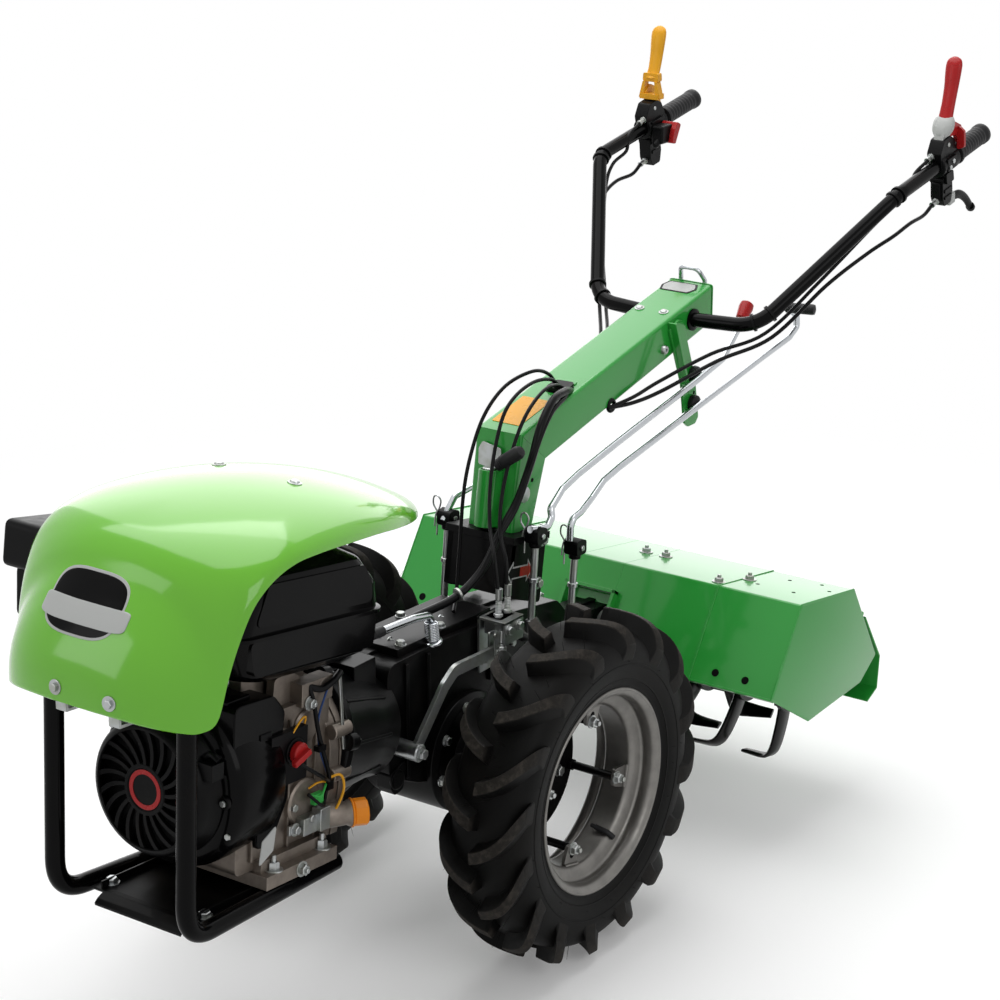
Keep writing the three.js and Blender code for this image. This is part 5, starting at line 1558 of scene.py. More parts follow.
double_arrow = [
    (-36, 0), (-20, 19), (-20, 10), (20, 10), (20, 19), (36, 0), (20, -19), (20, -10), (-20, -10),
    (-20, -19)
]
half_arrow = [(0, 7.6), (22, 7.6), (22, 13), (32, 0), (22, -13), (22, -7.6), (0, -7.6)]
make_piece("arrow_pale", flat_on_turret(double_arrow, 0.5), PALE)
make_piece("arrow_red", flat_on_turret(half_arrow, 0.9), RED)
other_half = [(-y, z) for y, z in half_arrow[::-1]]
make_piece("arrow_dark", flat_on_turret(other_half, 0.9), BLACK_SATIN)
turret_bolts = [
    on_column(both_sides(hex_bolt((62, y, z), LEFT, 13, 6, washer=10))) for y, z in ((24, -14), (22, -84))
]
make_piece("turret_bolts", turret_bolts, ZINC, bevel=0.35)
print("turret with a blank two-way arrow")

# %% [markdown]
# ## Bracket, arm and lever
#
# Control cables end in threaded adjusters on a small bracket and pull a flat arm beside the gearbox. A
# thread is drawn as rings and not as a helix: at this size both look alike and rings are far lighter.

# %% Cable bracket, clutch arm and engage lever
BRACKET_X = 62.3
arm_x = DRIVE_HALF + 12


def adjuster(place, direction, length):
    """A threaded cable end: a rod with fine rings, two nuts and a sleeve."""
    place, axis = np.array(place, float), np.array(direction, float)
    axis = axis / np.linalg.norm(axis)
    height = np.arange(0, length, 1.25)
    thread = np.stack([height, np.where(np.arange(len(height)) % 2, 4.4, 5.2)], -1)
    nuts = [hex_bolt(place + h * axis, axis, 13, 5) for h in (length * 0.30, length * 0.52)]
    return joined(
        turned(place, axis, thread, 16), *nuts,
        rod(place + length * axis, place + (length + 20) * axis, 5.6, 20, 1)
    )


plate_bits = [
    block((BRACKET_X, 34, 120), (BRACKET_X + 4, 84, 214)),
    block((BRACKET_X, 34, 210), (BRACKET_X + 52, 84, 214)),
    block((BRACKET_X + 48, 34, 176), (BRACKET_X + 52, 84, 213)),
    block((BRACKET_X + 2, 80, 176), (BRACKET_X + 50, 84, 213)),
    block((BRACKET_X + 8, 42, 186), (BRACKET_X + 40, 78, 214)),
    adjuster((92, 46, 190), (-0.02, 0.10, 1), 52),
    adjuster((92, 70, 190), (-0.02, 0.10, 1), 52),
    adjuster((104, 40, 158), (0, 0.06, 1), 20),
    hex_bolt((BRACKET_X + 52, 44, 200), LEFT, 12, 5, washer=9),
    hex_bolt((BRACKET_X + 52, 72, 200), LEFT, 12, 5, washer=9),
    hex_bolt((BRACKET_X + 4, 46, 140), LEFT, 13, 6, washer=10),
    hex_bolt((BRACKET_X + 4, 72, 140), LEFT, 13, 6, washer=10),
]
make_piece("cable_bracket_sheet", plate_bits, ZINC, ["cable_bracket"], bevel=0.7)
arm_line = bent_line([(0, 44, 163), (0, -70, 168), (0, -98, 150), (0, -172, 72)], 26, 10)[:, 1:]
step = np.gradient(arm_line, axis=0)
normal = np.stack([-step[:, 1], step[:, 0]], -1) / np.linalg.norm(step, axis=1)[:, None]
arm_edge = np.vstack([arm_line + 9.5 * normal, (arm_line - 9.5 * normal)[::-1]])
arm_bits = [
    side_plate(arm_edge, arm_x + 2, arm_x + 9),
    rod((62.3, -172, 71), (arm_x + 17, -172, 71), 14, 36, 2),
    hex_bolt((arm_x + 17, -172, 71), LEFT, 15, 7, washer=11),
    rod((arm_x, 34, 163), (arm_x + 15, 34, 163), 6.5, 24, 1),
    soft_plate([(26, 156), (44, 156), (44, 196), (26, 196)], 5, arm_x + 9.5, arm_x + 12.5),
    soft_plate([(26, 156), (44, 156), (44, 196), (26, 196)], 5, arm_x - 1.5, arm_x + 1.5),
]
make_piece("clutch_arm_bar", arm_bits, ZINC, ["clutch_arm"], bevel=1.3, segments=3)
lever_line = bent_line([(54, -70, 204), (54, -76, 250), (60, -126, 262), (66, -214, 272)], 18, 12)
t = np.linspace(0, 1, 180)
coil_turn = 2 * np.pi * 11 * t
coil = np.stack([54 + 10 * np.cos(coil_turn), -71 - 3 * t + 10 * np.sin(coil_turn), 208 + 30 * t], -1)
lever_bits = [
    tube(lever_line, 6, 20), rod((54, -70, 203), (54, -71, 208), 15, 32, 1),
    hex_bolt((54, -71, 208), UP, 15, 4)
]
make_piece("engage_rod", lever_bits, BRIGHT, ["engage_lever"], sharp=50)
make_piece("engage_spring", tube(coil, 1.4, 8), BRIGHT, sharp=70)
make_piece("engage_boot", rod((66, -208, 271.5), (67, -238, 274.5), 8, 24, 3), GRIP)
print("bracket, arm and lever")

# %% [markdown]
# ## Selector rods
#
# Three rods rise from the gearbox, each with a joint that a spring clip holds. They differ only in place
# and height, so one loop over a short table makes all of them.

# %% Selector rods with their clips
STATIONS = {"front": (80, 148, 332, 140), "rear": (82, 258, 280, 110), "right": (-92, 150, 326, 140)}


def clip(place):
    """An R-clip: one straight leg through the pin, a tall loop above it, and a leg that rests beside it."""
    place = np.array(place, float)
    line = [
        (-12, -6, -26), (-13, -3, -4), (-14, -2, 12), (-21, -2, 24), (-19, -3, 37), (-11, -4, 40),
        (-5, -4, 33), (-8, -4, 20), (-15, -4, 8), (-17, -5, -12)
    ]
    return tube(smooth_line(line, 6) + place, 1.5, 8)


for station, (x, y, top, foot) in STATIONS.items():
    side = np.sign(x)
    base = np.array([x, y + 4, foot], float)
    head = np.array([x, y + 20, top - 20], float)
    axis = (head - base) / np.linalg.norm(head - base)
    stem = [
        tube(np.linspace(base - 2 * axis, head, 2), 6, 24),
        rod(base, base + 34 * axis, 9, 28, 1.5),
        rod((side * 58, y + 4, foot + 6), (x + side * 8, y + 4, foot + 6), 11, 28, 2),
        hex_bolt((x + side * 8, y + 4, foot + 6), (side, 0, 0), 15, 7, washer=11),
        rod(base + 0.55 * (head - base), base + 0.55 * (head - base) + 8 * axis, 8.4, 24, 1),
        clip(head + (0, -9, -2)),
    ]
    make_piece(f"selector_stem_{station}", stem, ZINC, [f"selector_rod_{station}"], bevel=0.5)
    head_box = rounded([(-14, -12), (14, -12), (14, 10), (2, 15), (-14, 12)], 5, 4)
    cup = [
        side_plate(head_box + head[1:], x - 13, x + 13),
        turned(head - 20 * axis, axis, [(0, 8.5), (1.5, 10), (14, 10.5)], 32)
    ]
    make_piece(f"selector_cup_{station}", cup, BLACK_PLASTIC, bevel=2.2, segments=3)
    make_piece(f"selector_pin_{station}", rod(head + (-16, 0, 0), head + (16, 0, 0), 4.6, 20, 0.8), ZINC)
print(len(STATIONS), "selector rods")

# %% [markdown]
# ## Column, beam and handlebars
#
# A folded sheet tube has flat faces and soft edges. Each of its sections is a rounded rectangle stretched
# between two points of the side view, the front and the back of the tube, so the mitre at the knee is one
# section that both halves share.

# %% Column and beam
COLUMN_HALF = 43
BEAM_SLOPE = math.radians(11.8)
BEAM_TAIL = 760
knee_front, knee_back = np.array([180.5, 466.0]), np.array([251.5, 408.0])


def beam_top(y):
    """Height of the top of the beam: it climbs from the knee by the tangent of its slope."""
    return knee_front[1] + (y - knee_front[0]) * math.tan(BEAM_SLOPE)


BEAM_RISE = 66 / math.cos(BEAM_SLOPE)


def on_lean(offset, height):
    """A place of the side view from the foot of the column: along its foot, and up its leaning line."""
    c, s = math.cos(LEAN_BACK), math.sin(LEAN_BACK)
    return np.array([COLUMN_Y + offset * c + height * s, COLUMN_Z - offset * s + height * c])


def section(front, back, half, radius):
    """A rounded rectangle between two points of the side view, half wide on either side."""
    front, back = np.asarray(front, float), np.asarray(back, float)
    length = np.linalg.norm(back - front)
    ring = rounded([(-half, 0), (half, 0), (half, length), (-half, length)], radius, 6)
    side_view = front + ring[:, 1:] / length * (back - front)
    return np.column_stack([ring[:, 0], side_view])


def folded(pairs, half=COLUMN_HALF, radius=7):
    """A folded sheet tube through the sections between pairs of points."""
    return rows_shape(np.array([section(front, back, half, radius) for front, back in pairs]))


column_shape = folded([(on_lean(-38, 0.6), on_lean(20, 0.6)), (knee_front, knee_back)])
make_piece("column_tube", column_shape, FRAME_GREEN, ["column"], body="handlebar", sharp=50)
tail_pair = ((BEAM_TAIL - 3, beam_top(BEAM_TAIL - 3)), (BEAM_TAIL - 3, beam_top(BEAM_TAIL - 3) - BEAM_RISE))
end_pair = ((BEAM_TAIL, tail_pair[0][1] + 1), (BEAM_TAIL, tail_pair[1][1] - 1))
groove = ((BEAM_TAIL - 5, tail_pair[0][1] - 1.2), (BEAM_TAIL - 5, tail_pair[1][1] + 1.2))
beam_parts = [
    folded(
        [
            (knee_front + (0.5, 0.1), knee_back + (0.5, 0.1)),
            ((BEAM_TAIL - 5, beam_top(BEAM_TAIL - 5)), (BEAM_TAIL - 5, tail_pair[1][1] - 1))
        ]
    ),
    folded([groove, (np.array(groove[0]) + (2.4, 0), np.array(groove[1]) + (2.4, 0))], 42),
    folded([(np.array(tail_pair[0]) + (0.6, 0.8), np.array(tail_pair[1]) + (0.6, -0.8)), end_pair], 43.8),
]
make_piece("beam_tube", beam_parts, FRAME_GREEN, ["beam"], body="handlebar", sharp=50)


def on_beam_top(outline, lift, thickness):
    """A flat shape on the sloping top of the beam, from (x, y) points."""
    slope = math.tan(BEAM_SLOPE)
    return prism(
        outline, (0, 0, beam_top(0) + lift), LEFT, (0, 1, slope),
        (0, -math.sin(BEAM_SLOPE) * thickness, thickness)
    )


# painted shade: a thin dark patch on the beam top stands for the shade in the opening where the cables go in
notch_shade = rounded([(-8, 318), (26, 322), (22, 352), (-6, 350)], 7)
make_piece("beam_notch_shade", on_beam_top(notch_shade, 0.2, 0.6), HOLE_SHADE, body="handlebar")
notch_lip = [on_beam_top(rounded([(-14, 352), (30, 354), (26, 366), (-10, 364)], 5), -2, 4.5)]
make_piece("beam_notch_lip", notch_lip, FRAME_GREEN, body="handlebar", bevel=2, segments=3)
badge = on_beam_top(
    rounded([(-33, 716), (17, 716), (24, 731), (17, 746), (-33, 746), (-38, 731)], 5), 0.2, 0.7
)
make_piece("badge_blank", badge, PALE, body="handlebar")
badge_rim = on_beam_top(
    rounded([(-36, 713), (20, 713), (28, 731), (20, 749), (-36, 749), (-42, 731)], 5), 0.1, 0.45
)
make_piece("badge_rim", badge_rim, BLACK_PLASTIC, body="handlebar")
plate = on_beam_top(rounded([(-31, 205), (23, 205), (23, 293), (-31, 293)], 3), 0.2, 0.6)
make_piece("plate_blank", plate, YELLOW, body="handlebar")
beam_normal = (0, -math.sin(BEAM_SLOPE), math.cos(BEAM_SLOPE))
DOME = [(-0.5, 8.5), (1.2, 8.5), (1.5, 6), (3.4, 5.4), (4.6, 3.6), (5, 1)]
column_bolts = [turned((x, y, beam_top(y)), beam_normal, DOME, 24) for x, y in ((-28, 637), (20, 637))]
pivot_head, bar_head = [(-1, 13), (1, 13), (2, 10), (2.6, 2)], [(-1, 8), (5, 8), (7, 6.5), (7, 3), (4, 3)]
for y, z, profile in ((191, 365, pivot_head), (600, 508, bar_head)):
    column_bolts.append(both_sides(turned((COLUMN_HALF, y, z), LEFT, profile, 28)))
make_piece("column_bolts", column_bolts, ZINC, body="handlebar")
# painted shade: small dark discs on both sides of the column stand for the shade in its holes
hole_shade_spots = both_sides(turned((COLUMN_HALF, 211, 384), LEFT, [(-1, 3.6), (0.3, 3.6)], 20))
make_piece("column_hole_shade", hole_shade_spots, HOLE_SHADE, body="handlebar")
ring_path = [
    (COLUMN_HALF, 440 + 9 * math.cos(a), 450 + 9 * math.sin(a)) for a in np.linspace(0, 2 * np.pi, 25)
]
make_piece("cable_eye", tube(np.array(ring_path), 3.6, 12), BLACK_PLASTIC, body="handlebar")
print("column and beam with", len(column_bolts), "kinds of bolt")

# %% [markdown]
# ## The swivel lock
#
# A latch on the face of the column holds the handlebars. It is modelled upright in the column's own frame,
# so it leans with the column.

# %% Swivel lock on the face of the column
lock_round = turned((0, -56, 6), UP, [(0, 15.5), (92, 15.5), (92, 12), (70, 12)], 40)
lock_tube = on_column(lock_round, block((-15.5, -56, 6), (15.5, -38.6, 96)))
make_piece("lock_tube", lock_tube, FRAME_GREEN, ["swivel_lock"], body="handlebar", bevel=1.2)
latch = [
    prism(
        rounded([(-28, 101), (8, 96), (16, 106), (12, 132), (-24, 138), (-30, 126)], 4), (0, -42.5, 0),
        LEFT, UP, (0, -3, 0)
    ),
    rod((0, -56, 84), (0, -56, 101), 10, 28, 1.5),
    hex_bolt((10, -45.5, 108), FRONT, 15, 8, washer=11),
]
make_piece("lock_latch", on_column(*latch), ZINC, body="handlebar", bevel=0.6)
grip_turn = [(0, 8), (2, 10), (12, 10), (13, 11), (48, 11), (54, 8.5), (56, 4)]
lock_grip = turned((20, 148, 421), (46, 2, 33), grip_turn, 40)
make_piece("lock_grip", lock_grip, GRIP, body="handlebar")
print("swivel lock")

# %% [markdown]
# ## Handlebars and grips
#
# Each bar is one bent tube with a ribbed rubber grip pushed on. The left one is modelled and the right one
# mirrored, and the ribs are a profile written by a loop and turned about the bar.

# %% Handlebars and grips
BAR_Y = 694.0
BAR_START = np.array([44.9, BAR_Y, beam_top(BAR_Y) - BEAM_RISE / 2])
BAR_BEND = np.array([300.0, 928.0, 744.0])  # where the bar turns back towards the driver
GRIP_END = np.array([300.0, 1257.0, 800.0])
bar_points = [BAR_START, (160, 708, BAR_START[2] + 2), BAR_BEND, (300, 1252.1, 799.2)]
bar_line = bent_line(bar_points, 74, 22)
bar_way = (GRIP_END - BAR_BEND) / np.linalg.norm(GRIP_END - BAR_BEND)
for side, flip in SIDES:
    collar = turned(BAR_START - (1.4, 0, 0), LEFT, [(0, 19), (3, 19), (4.5, 15), (4.5, 12)], 40)
    make_piece(
        f"handlebar_tube_{side}", flip(joined(tube(bar_line, 12.5, 36), collar)), BLACK_GLOSS,
        [f"handlebar_{side}"], body="handlebar", sharp=60
    )
    ribs = [(-118, 13.2), (-117, 19.5), (-112, 20.5), (-108, 17.2)]
    for k in range(9):
        ribs += [
            (-104 + 9.4 * k, 16.2), (-101 + 9.4 * k, 17.4), (-97.5 + 9.4 * k, 17.4), (-95.5 + 9.4 * k, 16.2)
        ]
    ribs += [(-16, 16.4), (-13, 18.6), (-4, 18.6), (-1, 16), (0.2, 9), (0.4, 1)]
    make_piece(
        f"grip_ribbed_{side}", flip(turned(GRIP_END, bar_way, ribs, 48)), GRIP, [f"grip_{side}"],
        body="handlebar", sharp=60
    )
print("handlebars", len(bar_line), "rings each")

# %% [markdown]
# ## Levers and clamps
#
# A hand lever is a soft finger: an ellipse carried up a slightly bent line, wide at the top, drawn in to a
# waist. Each row of the list below holds a height, a set back, and the two half axes of the ellipse there.

# %% Levers and clamps
CLAMP_BACK = 157  # from the end of the grip
CLAMP = GRIP_END - CLAMP_BACK * bar_way
CLAMP_TILT = math.asin(bar_way[2])


def finger(stations, sides=28):
    """Ellipses at (height, back, half_width, half_thickness), smoothed between the stations."""
    line = smooth_line(stations, 6)
    around = whole_turn(sides)
    z, y, a, b = (line[:, k][:, None] for k in range(4))
    points = np.stack([a * np.cos(around), y + b * np.sin(around), z + 0.35 * b * np.sin(around)], -1)
    return rows_shape(points)


def at_clamp(*shapes):
    """Shapes about the clamp that stand upright."""
    return moved(joined(*shapes), 0, CLAMP)


def on_clamp(*shapes):
    """Shapes about the clamp, tilted with the handlebar."""
    return moved(joined(*shapes), CLAMP_TILT, CLAMP)


blade = [
    (66, -4, 14, 11), (84, 2, 13, 9), (104, 9, 12.6, 8.4), (130, 16, 13.4, 8.6), (152, 20, 14.8, 9.2),
    (166, 22.5, 15, 9), (174, 24, 12.5, 7.4), (178.5, 25, 6, 3.6)
]
red_wing = [
    soft_plate([(-4, 46), (20, 46), (44, 22), (48, 34), (40, 60), (14, 70), (-8, 62)], 5, 4, 12, 4),
    prism(rounded([(12, 0), (26, 6), (24, 34), (12, 44)], 4), (0, 26, 18), LEFT, UP, (0, 7, 0)),
]
make_piece(
    "hand_lever_red", at_clamp(finger(blade), *red_wing), RED, ["clutch_lever_left"], body="handlebar",
    bevel=1.2
)
catch = finger([(50, -10, 15, 13), (58, -8, 19, 16), (68, -6, 19.5, 16), (76, -4, 17, 13), (80, -3, 12, 9)])
make_piece(
    "lever_catch", at_clamp(catch, soft_plate([(-26, 34), (-8, 34), (0, 62), (-20, 68)], 5, -9, 9)), PALE,
    body="handlebar", bevel=1.5
)
legs = [
    prism([(s * 10, 82), (s * 15.5, 80), (s * 23, 50), (s * 12, 50)], (0, -8, 0), LEFT, UP, (0, 14, 0))
    for s in (-1, 1)
]
yellow_base = legs + [
    block((-20, -10, 48), (20, 12, 58)),
    soft_plate([(-4, 46), (22, 40), (44, 18), (48, 32), (34, 64), (8, 74), (-6, 62)], 5, 8, 15, 4),
    prism(rounded([(-16, 96), (16, 96), (17, 80), (-17, 80)], 4), (0, -5, 0), LEFT, UP, (0, 14, 0)),
]
yellow_blade = [(90, 1, 13.6, 9)] + blade[2:]
make_piece(
    "hand_lever_yellow", mirrored(at_clamp(finger(yellow_blade), *yellow_base)), YELLOW,
    ["reverse_lever_right"], body="handlebar", bevel=1.2
)

clamp_bits = [
    turned(
        (0, -31, 0), BACK,
        [(0, 17), (1, 19.5), (14, 19.5), (15, 18), (44, 18), (45, 20), (60, 20), (62, 17)], 48
    ),
    soft_plate([(-30, -16), (26, -16), (30, 14), (20, 38), (6, 47), (-18, 46), (-34, 26)], 7, -14, 13, 5),
    soft_plate([(-22, -14), (6, -14), (8, -34), (-20, -34)], 4, -17, 17, 4),
    block((-19, -24, -13), (-8, 20, 13)),
    block((9, -20, -10), (20, 14, 12)),
]
lower_house = [
    soft_plate([(-26, -20), (10, -20), (11, -52), (4, -74), (-22, -74), (-28, -56)], 6, -12, 12, 5),
    soft_plate([(-31, -28), (-14, -28), (-14, -66), (-31, -62)], 4, -8, 8, 4),
    block((-14, -22, -50), (14, 6, -44)),
    block((-14, -22, -62), (14, 4, -57)),
]
for side, flip in SIDES:
    bits = clamp_bits + lower_house if side == "left" else clamp_bits + lower_house[:1] + lower_house[2:3]
    make_piece(
        f"clamp_{side}", flip(on_clamp(*bits)), BLACK_PLASTIC, [f"lever_clamp_{side}"], body="handlebar",
        bevel=2.4, segments=3
    )
    metal_bits = [
        turned(
            (-6, -30, 20), (0, -1, -0.12),
            [(0, 6.5), (6, 6.5), (6.5, 4.4), (15, 4.4), (15.5, 5.6), (20, 5.6)], 20
        ),
        turned(
            (0, -28, -62), (0, -1, -0.1), [(0, 6), (5, 6), (5.5, 4.2), (14, 4.2), (14.5, 5.4), (19, 5.4)],
            20
        ),
        hex_bolt((20, 0, 4), LEFT, 8, 3),
        hex_bolt((20, -12, -4), LEFT, 8, 3),
        rod((-15, -4, 34), (15, -4, 34), 4, 20, 0.6),
    ]
    make_piece(f"clamp_metal_{side}", flip(on_clamp(*metal_bits)), ZINC, body="handlebar", bevel=0.3)
brake_line = smooth_line([(0, 2, -74), (0, 26, -76), (0, 56, -80), (0, 82, -96), (0, 104, -121)], 8)
turn = whole_turn(20)
brake = carried(brake_line, np.stack([8 * np.cos(turn), 4.6 * np.sin(turn)], -1))
brake_end = turned((0, 104, -121), (0, 22, -25), [(-2, 8), (4, 8), (8, 6), (10, 2)], 24)
make_piece(
    "brake_lever_bent", on_clamp(brake, brake_end), BLACK_SATIN, ["brake_lever_left"], body="handlebar",
    sharp=60
)
make_piece(
    "brake_shoe", on_clamp(block((-9, 6, -84), (9, 28, -62))), PALE, body="handlebar",
    bevel=3, segments=3
)
switch_body = [
    block((-281, 1072, 744), (-256, 1112, 778)),
    turned((-268, 1076, 748), (0, -1, -0.5), [(-4, 8), (10, 7), (16, 4.5)], 24),
]
make_piece("switch_body", switch_body, BLACK_PLASTIC, body="handlebar", bevel=6, segments=4)
rocker = soft_plate([(1094, 744), (1106, 742), (1124, 776), (1112, 782), (1102, 770)], 4, -280, -247, 4)
make_piece("switch_rocker", rocker, RED, ["stop_switch_right"], body="handlebar", bevel=2.5, segments=3)
print("levers, clamps and switch")

# %% [markdown]
# ## Shift rods, guide and tail loop
#
# Two long bent rods bring the gear levers within reach of the driver, through rubber rings in a plate under
# the beam. Their bends are listed as corners, because no formula gives the route of a bent wire.

# %% Shift levers, guide and tail loop
front_line = [
    (80, 152, 326), (82, 172, 320), (83, 196, 318), (81, 211, 330), (78, 212, 343), (74, 250, 364),
    (71, 300, 375), (70, 423, 398), (66, 680, 441), (66, 760, 458), (62, 820, 500), (60, 836, 516)
]
rear_line = [
    (82, 262, 276), (83, 262, 300), (84, 268, 312), (82, 292, 315), (77, 330, 326), (73, 372, 344),
    (72, 421, 354), (66, 686, 393), (66, 900, 428), (72, 985, 446), (75, 1008, 462), (74, 1008, 482),
    (72, 985, 498), (74, 984, 503)
]
for station, line in (("front", front_line), ("rear", rear_line)):
    make_piece(
        f"shift_rod_{station}", tube(bent_line(line, 9, 5), 6, 20), BRIGHT, [f"shift_lever_{station}"],
        body="handlebar", sharp=60
    )
knob_red = turned((60, 832, 512), (-2, 20, 18), [(0, 7), (2, 10.5), (24, 13), (32, 12), (36, 7), (37, 1)], 40)
make_piece("shift_knob_red", knob_red, RED, body="handlebar")
knob_black = turned(
    (66, 980, 502), (0.95, 0.21, 0.02), [(0, 7), (2, 9), (10, 9.4), (50, 9.8), (54, 9), (55.5, 5), (56, 1)],
    40
)
make_piece("shift_knob_black", knob_black, GRIP, body="handlebar")
right_line = [
    (-92, 156, 304), (-92, 168, 318), (-90, 186, 338), (-86, 222, 343), (-72, 262, 352), (-60, 320, 372)
]
make_piece("shift_rod_right", tube(bent_line(right_line, 8, 5), 5.5, 16), BRIGHT, sharp=60)
guide_side = [
    (612, 540), (640, 552), (656, 546), (700, 436), (714, 362), (704, 352), (680, 352), (668, 362),
    (656, 434)
]
folded_edge = [(612, 552), (618, 552), (662, 436), (656, 434)]
guide_parts = [soft_plate(guide_side, 8, 43.3, 48.3, 5), side_plate(folded_edge, 43.3, 60)]
make_piece("guide_plate", guide_parts, FRAME_GREEN, ["lever_guide"], body="handlebar", bevel=1.0)
grommets = [
    turned((48.3, y, z), LEFT, [(0, 15), (3, 16), (9, 15), (12, 11), (13, 7)], 40)
    for y, z in ((690, 444), (690, 392))
]
make_piece("guide_grommets", grommets, GRIP, body="handlebar", bevel=0.8)
# painted shade: small dark discs on the guide plate stand for the shade in its holes
guide_hole_shade = [turned((48.3, y, z), LEFT, [(-1, 3.2), (0.3, 3.2)], 18) for y, z in ((676, 418), (696, 410))]
make_piece("guide_hole_shade", guide_hole_shade, HOLE_SHADE, body="handlebar")
top = beam_top(BEAM_TAIL)
loop_line = [
    (-24, 764.5, top - 46), (-24, 764.5, top + 4), (-17, 751, top + 26), (17, 751, top + 26),
    (24, 764.5, top + 4), (24, 764.5, top - 46)
]
make_piece(
    "tail_loop_wire", tube(bent_line(loop_line, 14, 8), 4.2, 20), BRIGHT, ["tail_loop"], body="handlebar",
    sharp=60
)
print("shift rods, guide and loop")

# %% [markdown]
# ## Cables
#
# Control cables sag and fan out on their way, so each is a smooth line through listed points. Those over
# the knee join the turning column to the fixed gearbox, so their piece is tied to neither body.

# %% Cables
knee_lines = [
    (
        [
            (5, 338, 500), (5, 312, 528), (8, 262, 545), (-4, 205, 533), (-14, 162, 495), (-17, 130, 440),
            (-15, 106, 380), (-13, 92, 290), (-4, 70, 226), (20, 30, 214)
        ],
        3.0
    ),
    (
        [
            (12, 338, 500), (15, 305, 522), (19, 250, 532), (22, 192, 522), (23, 155, 492), (26, 124, 420),
            (42, 96, 350), (78, 58, 306), (92, 47, 262)
        ],
        3.0
    ),
    (
        [
            (18, 338, 500), (27, 300, 516), (36, 252, 520), (42, 200, 500), (42, 164, 458), (42, 132, 390),
            (56, 104, 334), (84, 80, 298), (92, 71, 262)
        ],
        3.0
    ),
    (
        [
            (30, 336, 499), (44, 300, 508), (55, 250, 508), (61, 208, 478), (61, 183, 428), (58, 150, 372),
            (54, 112, 333), (48, 71, 280), (34, 18, 246), (18, -60, 236), (6, -150, 232)
        ],
        6.6
    ),
    (
        [
            (30, 330, 500), (48, 292, 500), (60, 240, 492), (66, 200, 462), (64, 170, 410), (62, 140, 362),
            (56, 100, 322), (50, 62, 276), (40, 30, 250)
        ],
        4.2
    ),
]
knee = [tube(smooth_line(points, 7), radius, 12) for points, radius in knee_lines]
knee.append(on_beam_top(rounded([(-7, 322), (34, 322), (30, 352), (-5, 350)], 7), 0.4, 7))
knee_piece = make_piece("knee_cables_soft", knee, SHEATH, ["knee_cables"], body=None, sharp=60)
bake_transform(knee_piece)
tie = turned((36, 24, 249), (-0.3, -0.95, -0.2), [(0, 8), (1, 11), (5, 11), (6, 8)], 28)
make_piece("knee_tie", tie, ZINC, bevel=0.5)

# the two cables of a bar: where each leaves its clamp, its first step, its other points and its radius
BAR_CABLES = [
    (
        (-6, -49, 17.7), (-2.8, -40, -16),
        [
            (289, 1000, 741), (287, 950, 724), (269, 900, 690), (219, 815, 606), (161, 738, 524),
            (105, 655, 498), (62.5, 560, 466), (56, 490, 455), (44, 430, 448)
        ],
        3.2
    ),
    (
        (0, -46, -63.8), (-1, -30, -13),
        [
            (300, 985, 686), (294, 935, 672), (274, 880, 650), (232, 815, 601), (174, 738, 519),
            (118, 655, 488), (69, 560, 451), (56, 490, 445), (44, 430, 448)
        ],
        3.4
    ),
]


def bar_cable(start, step, points, radius):
    """A smooth tube from a place in the clamp's frame, one step on, then through points of the machine."""
    first = on_clamp((np.array([start], float), []))[0][0]
    return tube(smooth_line([first, first + step, *points], 8), radius, 12)


runs = [bar_cable(*cable) for cable in BAR_CABLES]
for side, flip in SIDES:
    make_piece(
        f"bar_cables_{side}", flip(joined(*runs)), SHEATH, [f"bar_cable_{side}"], body="handlebar", sharp=60
    )
    ties = []
    for k in (0.22, 0.42, 0.66, 0.8):
        i = int(k * (len(bar_line) - 2)) + 1
        way = bar_line[i + 1] - bar_line[i]
        ties.append(turned(bar_line[i], way, [(0, 13), (0.6, 15.4), (5, 15.4), (5.6, 13)], 32))
    make_piece(f"bar_ties_{side}", flip(joined(*ties)), BLACK_PLASTIC, body="handlebar")
print("cables:", len(knee_lines), "over the knee and", len(BAR_CABLES), "on each bar")

# %% [markdown]
# ## The tiller
#
# The hood is one folded sheet in three widths: a middle and two ends that overlap it with a raised seam. A
# folded sheet is its side line given a thickness, with a small radius at each fold. Under it the rotor
# carries flat blades that leave their flange and turn sideways at the tip.

# %% Hood
HOOD_HALF = 384
CORE_HALF = 225
# (y, z) of the folds, from the front down the back
hood_fold = [(400, 22), (491, 158), (675, 127), (716, 62)]


def raised(line, by):
    """A line of (y, z) points moved outwards: each point goes square to the step between its neighbours."""
    points = np.array(line, float)
    way = np.gradient(points, axis=0)
    out = np.stack([-way[:, 1], way[:, 0]], -1) / np.linalg.norm(way, axis=1)[:, None]
    return points + by * out


def sheet_outline(line, bend, thickness):
    """The outline of a folded sheet, its outside on the line given."""
    soft = bent_line([(0, y, z) for y, z in line], bend, 6)[:, 1:]
    return np.vstack([soft, raised(soft, -thickness)[::-1]])


front_way = np.array([91.0, 136.0]) / math.hypot(91, 136)
front_out = np.array([0, -front_way[1], front_way[0]])


def on_hood_front(outline, lift, thickness):
    """A flat shape on the sloping front of the hood, from (x, height up the slope) points."""
    origin = np.array([0, *hood_fold[0]]) + lift * front_out
    return prism(outline, origin, LEFT, (0, *front_way), thickness * front_out)


side_core = sheet_outline(hood_fold, 5, 3)
core_parts = [
    both_sides(side_plate(side_core, 42.5, CORE_HALF)),
    side_plate(sheet_outline([(462, 114.7)] + hood_fold[1:], 5, 3), -42.6, 42.6)
]


def front_bar(x0, x1, low, high, lift, thickness):
    """A flat bar on the front of the hood, between two x and two heights up the slope."""
    return on_hood_front([(x0, low), (x1, low), (x1, high), (x0, high)], lift, thickness)


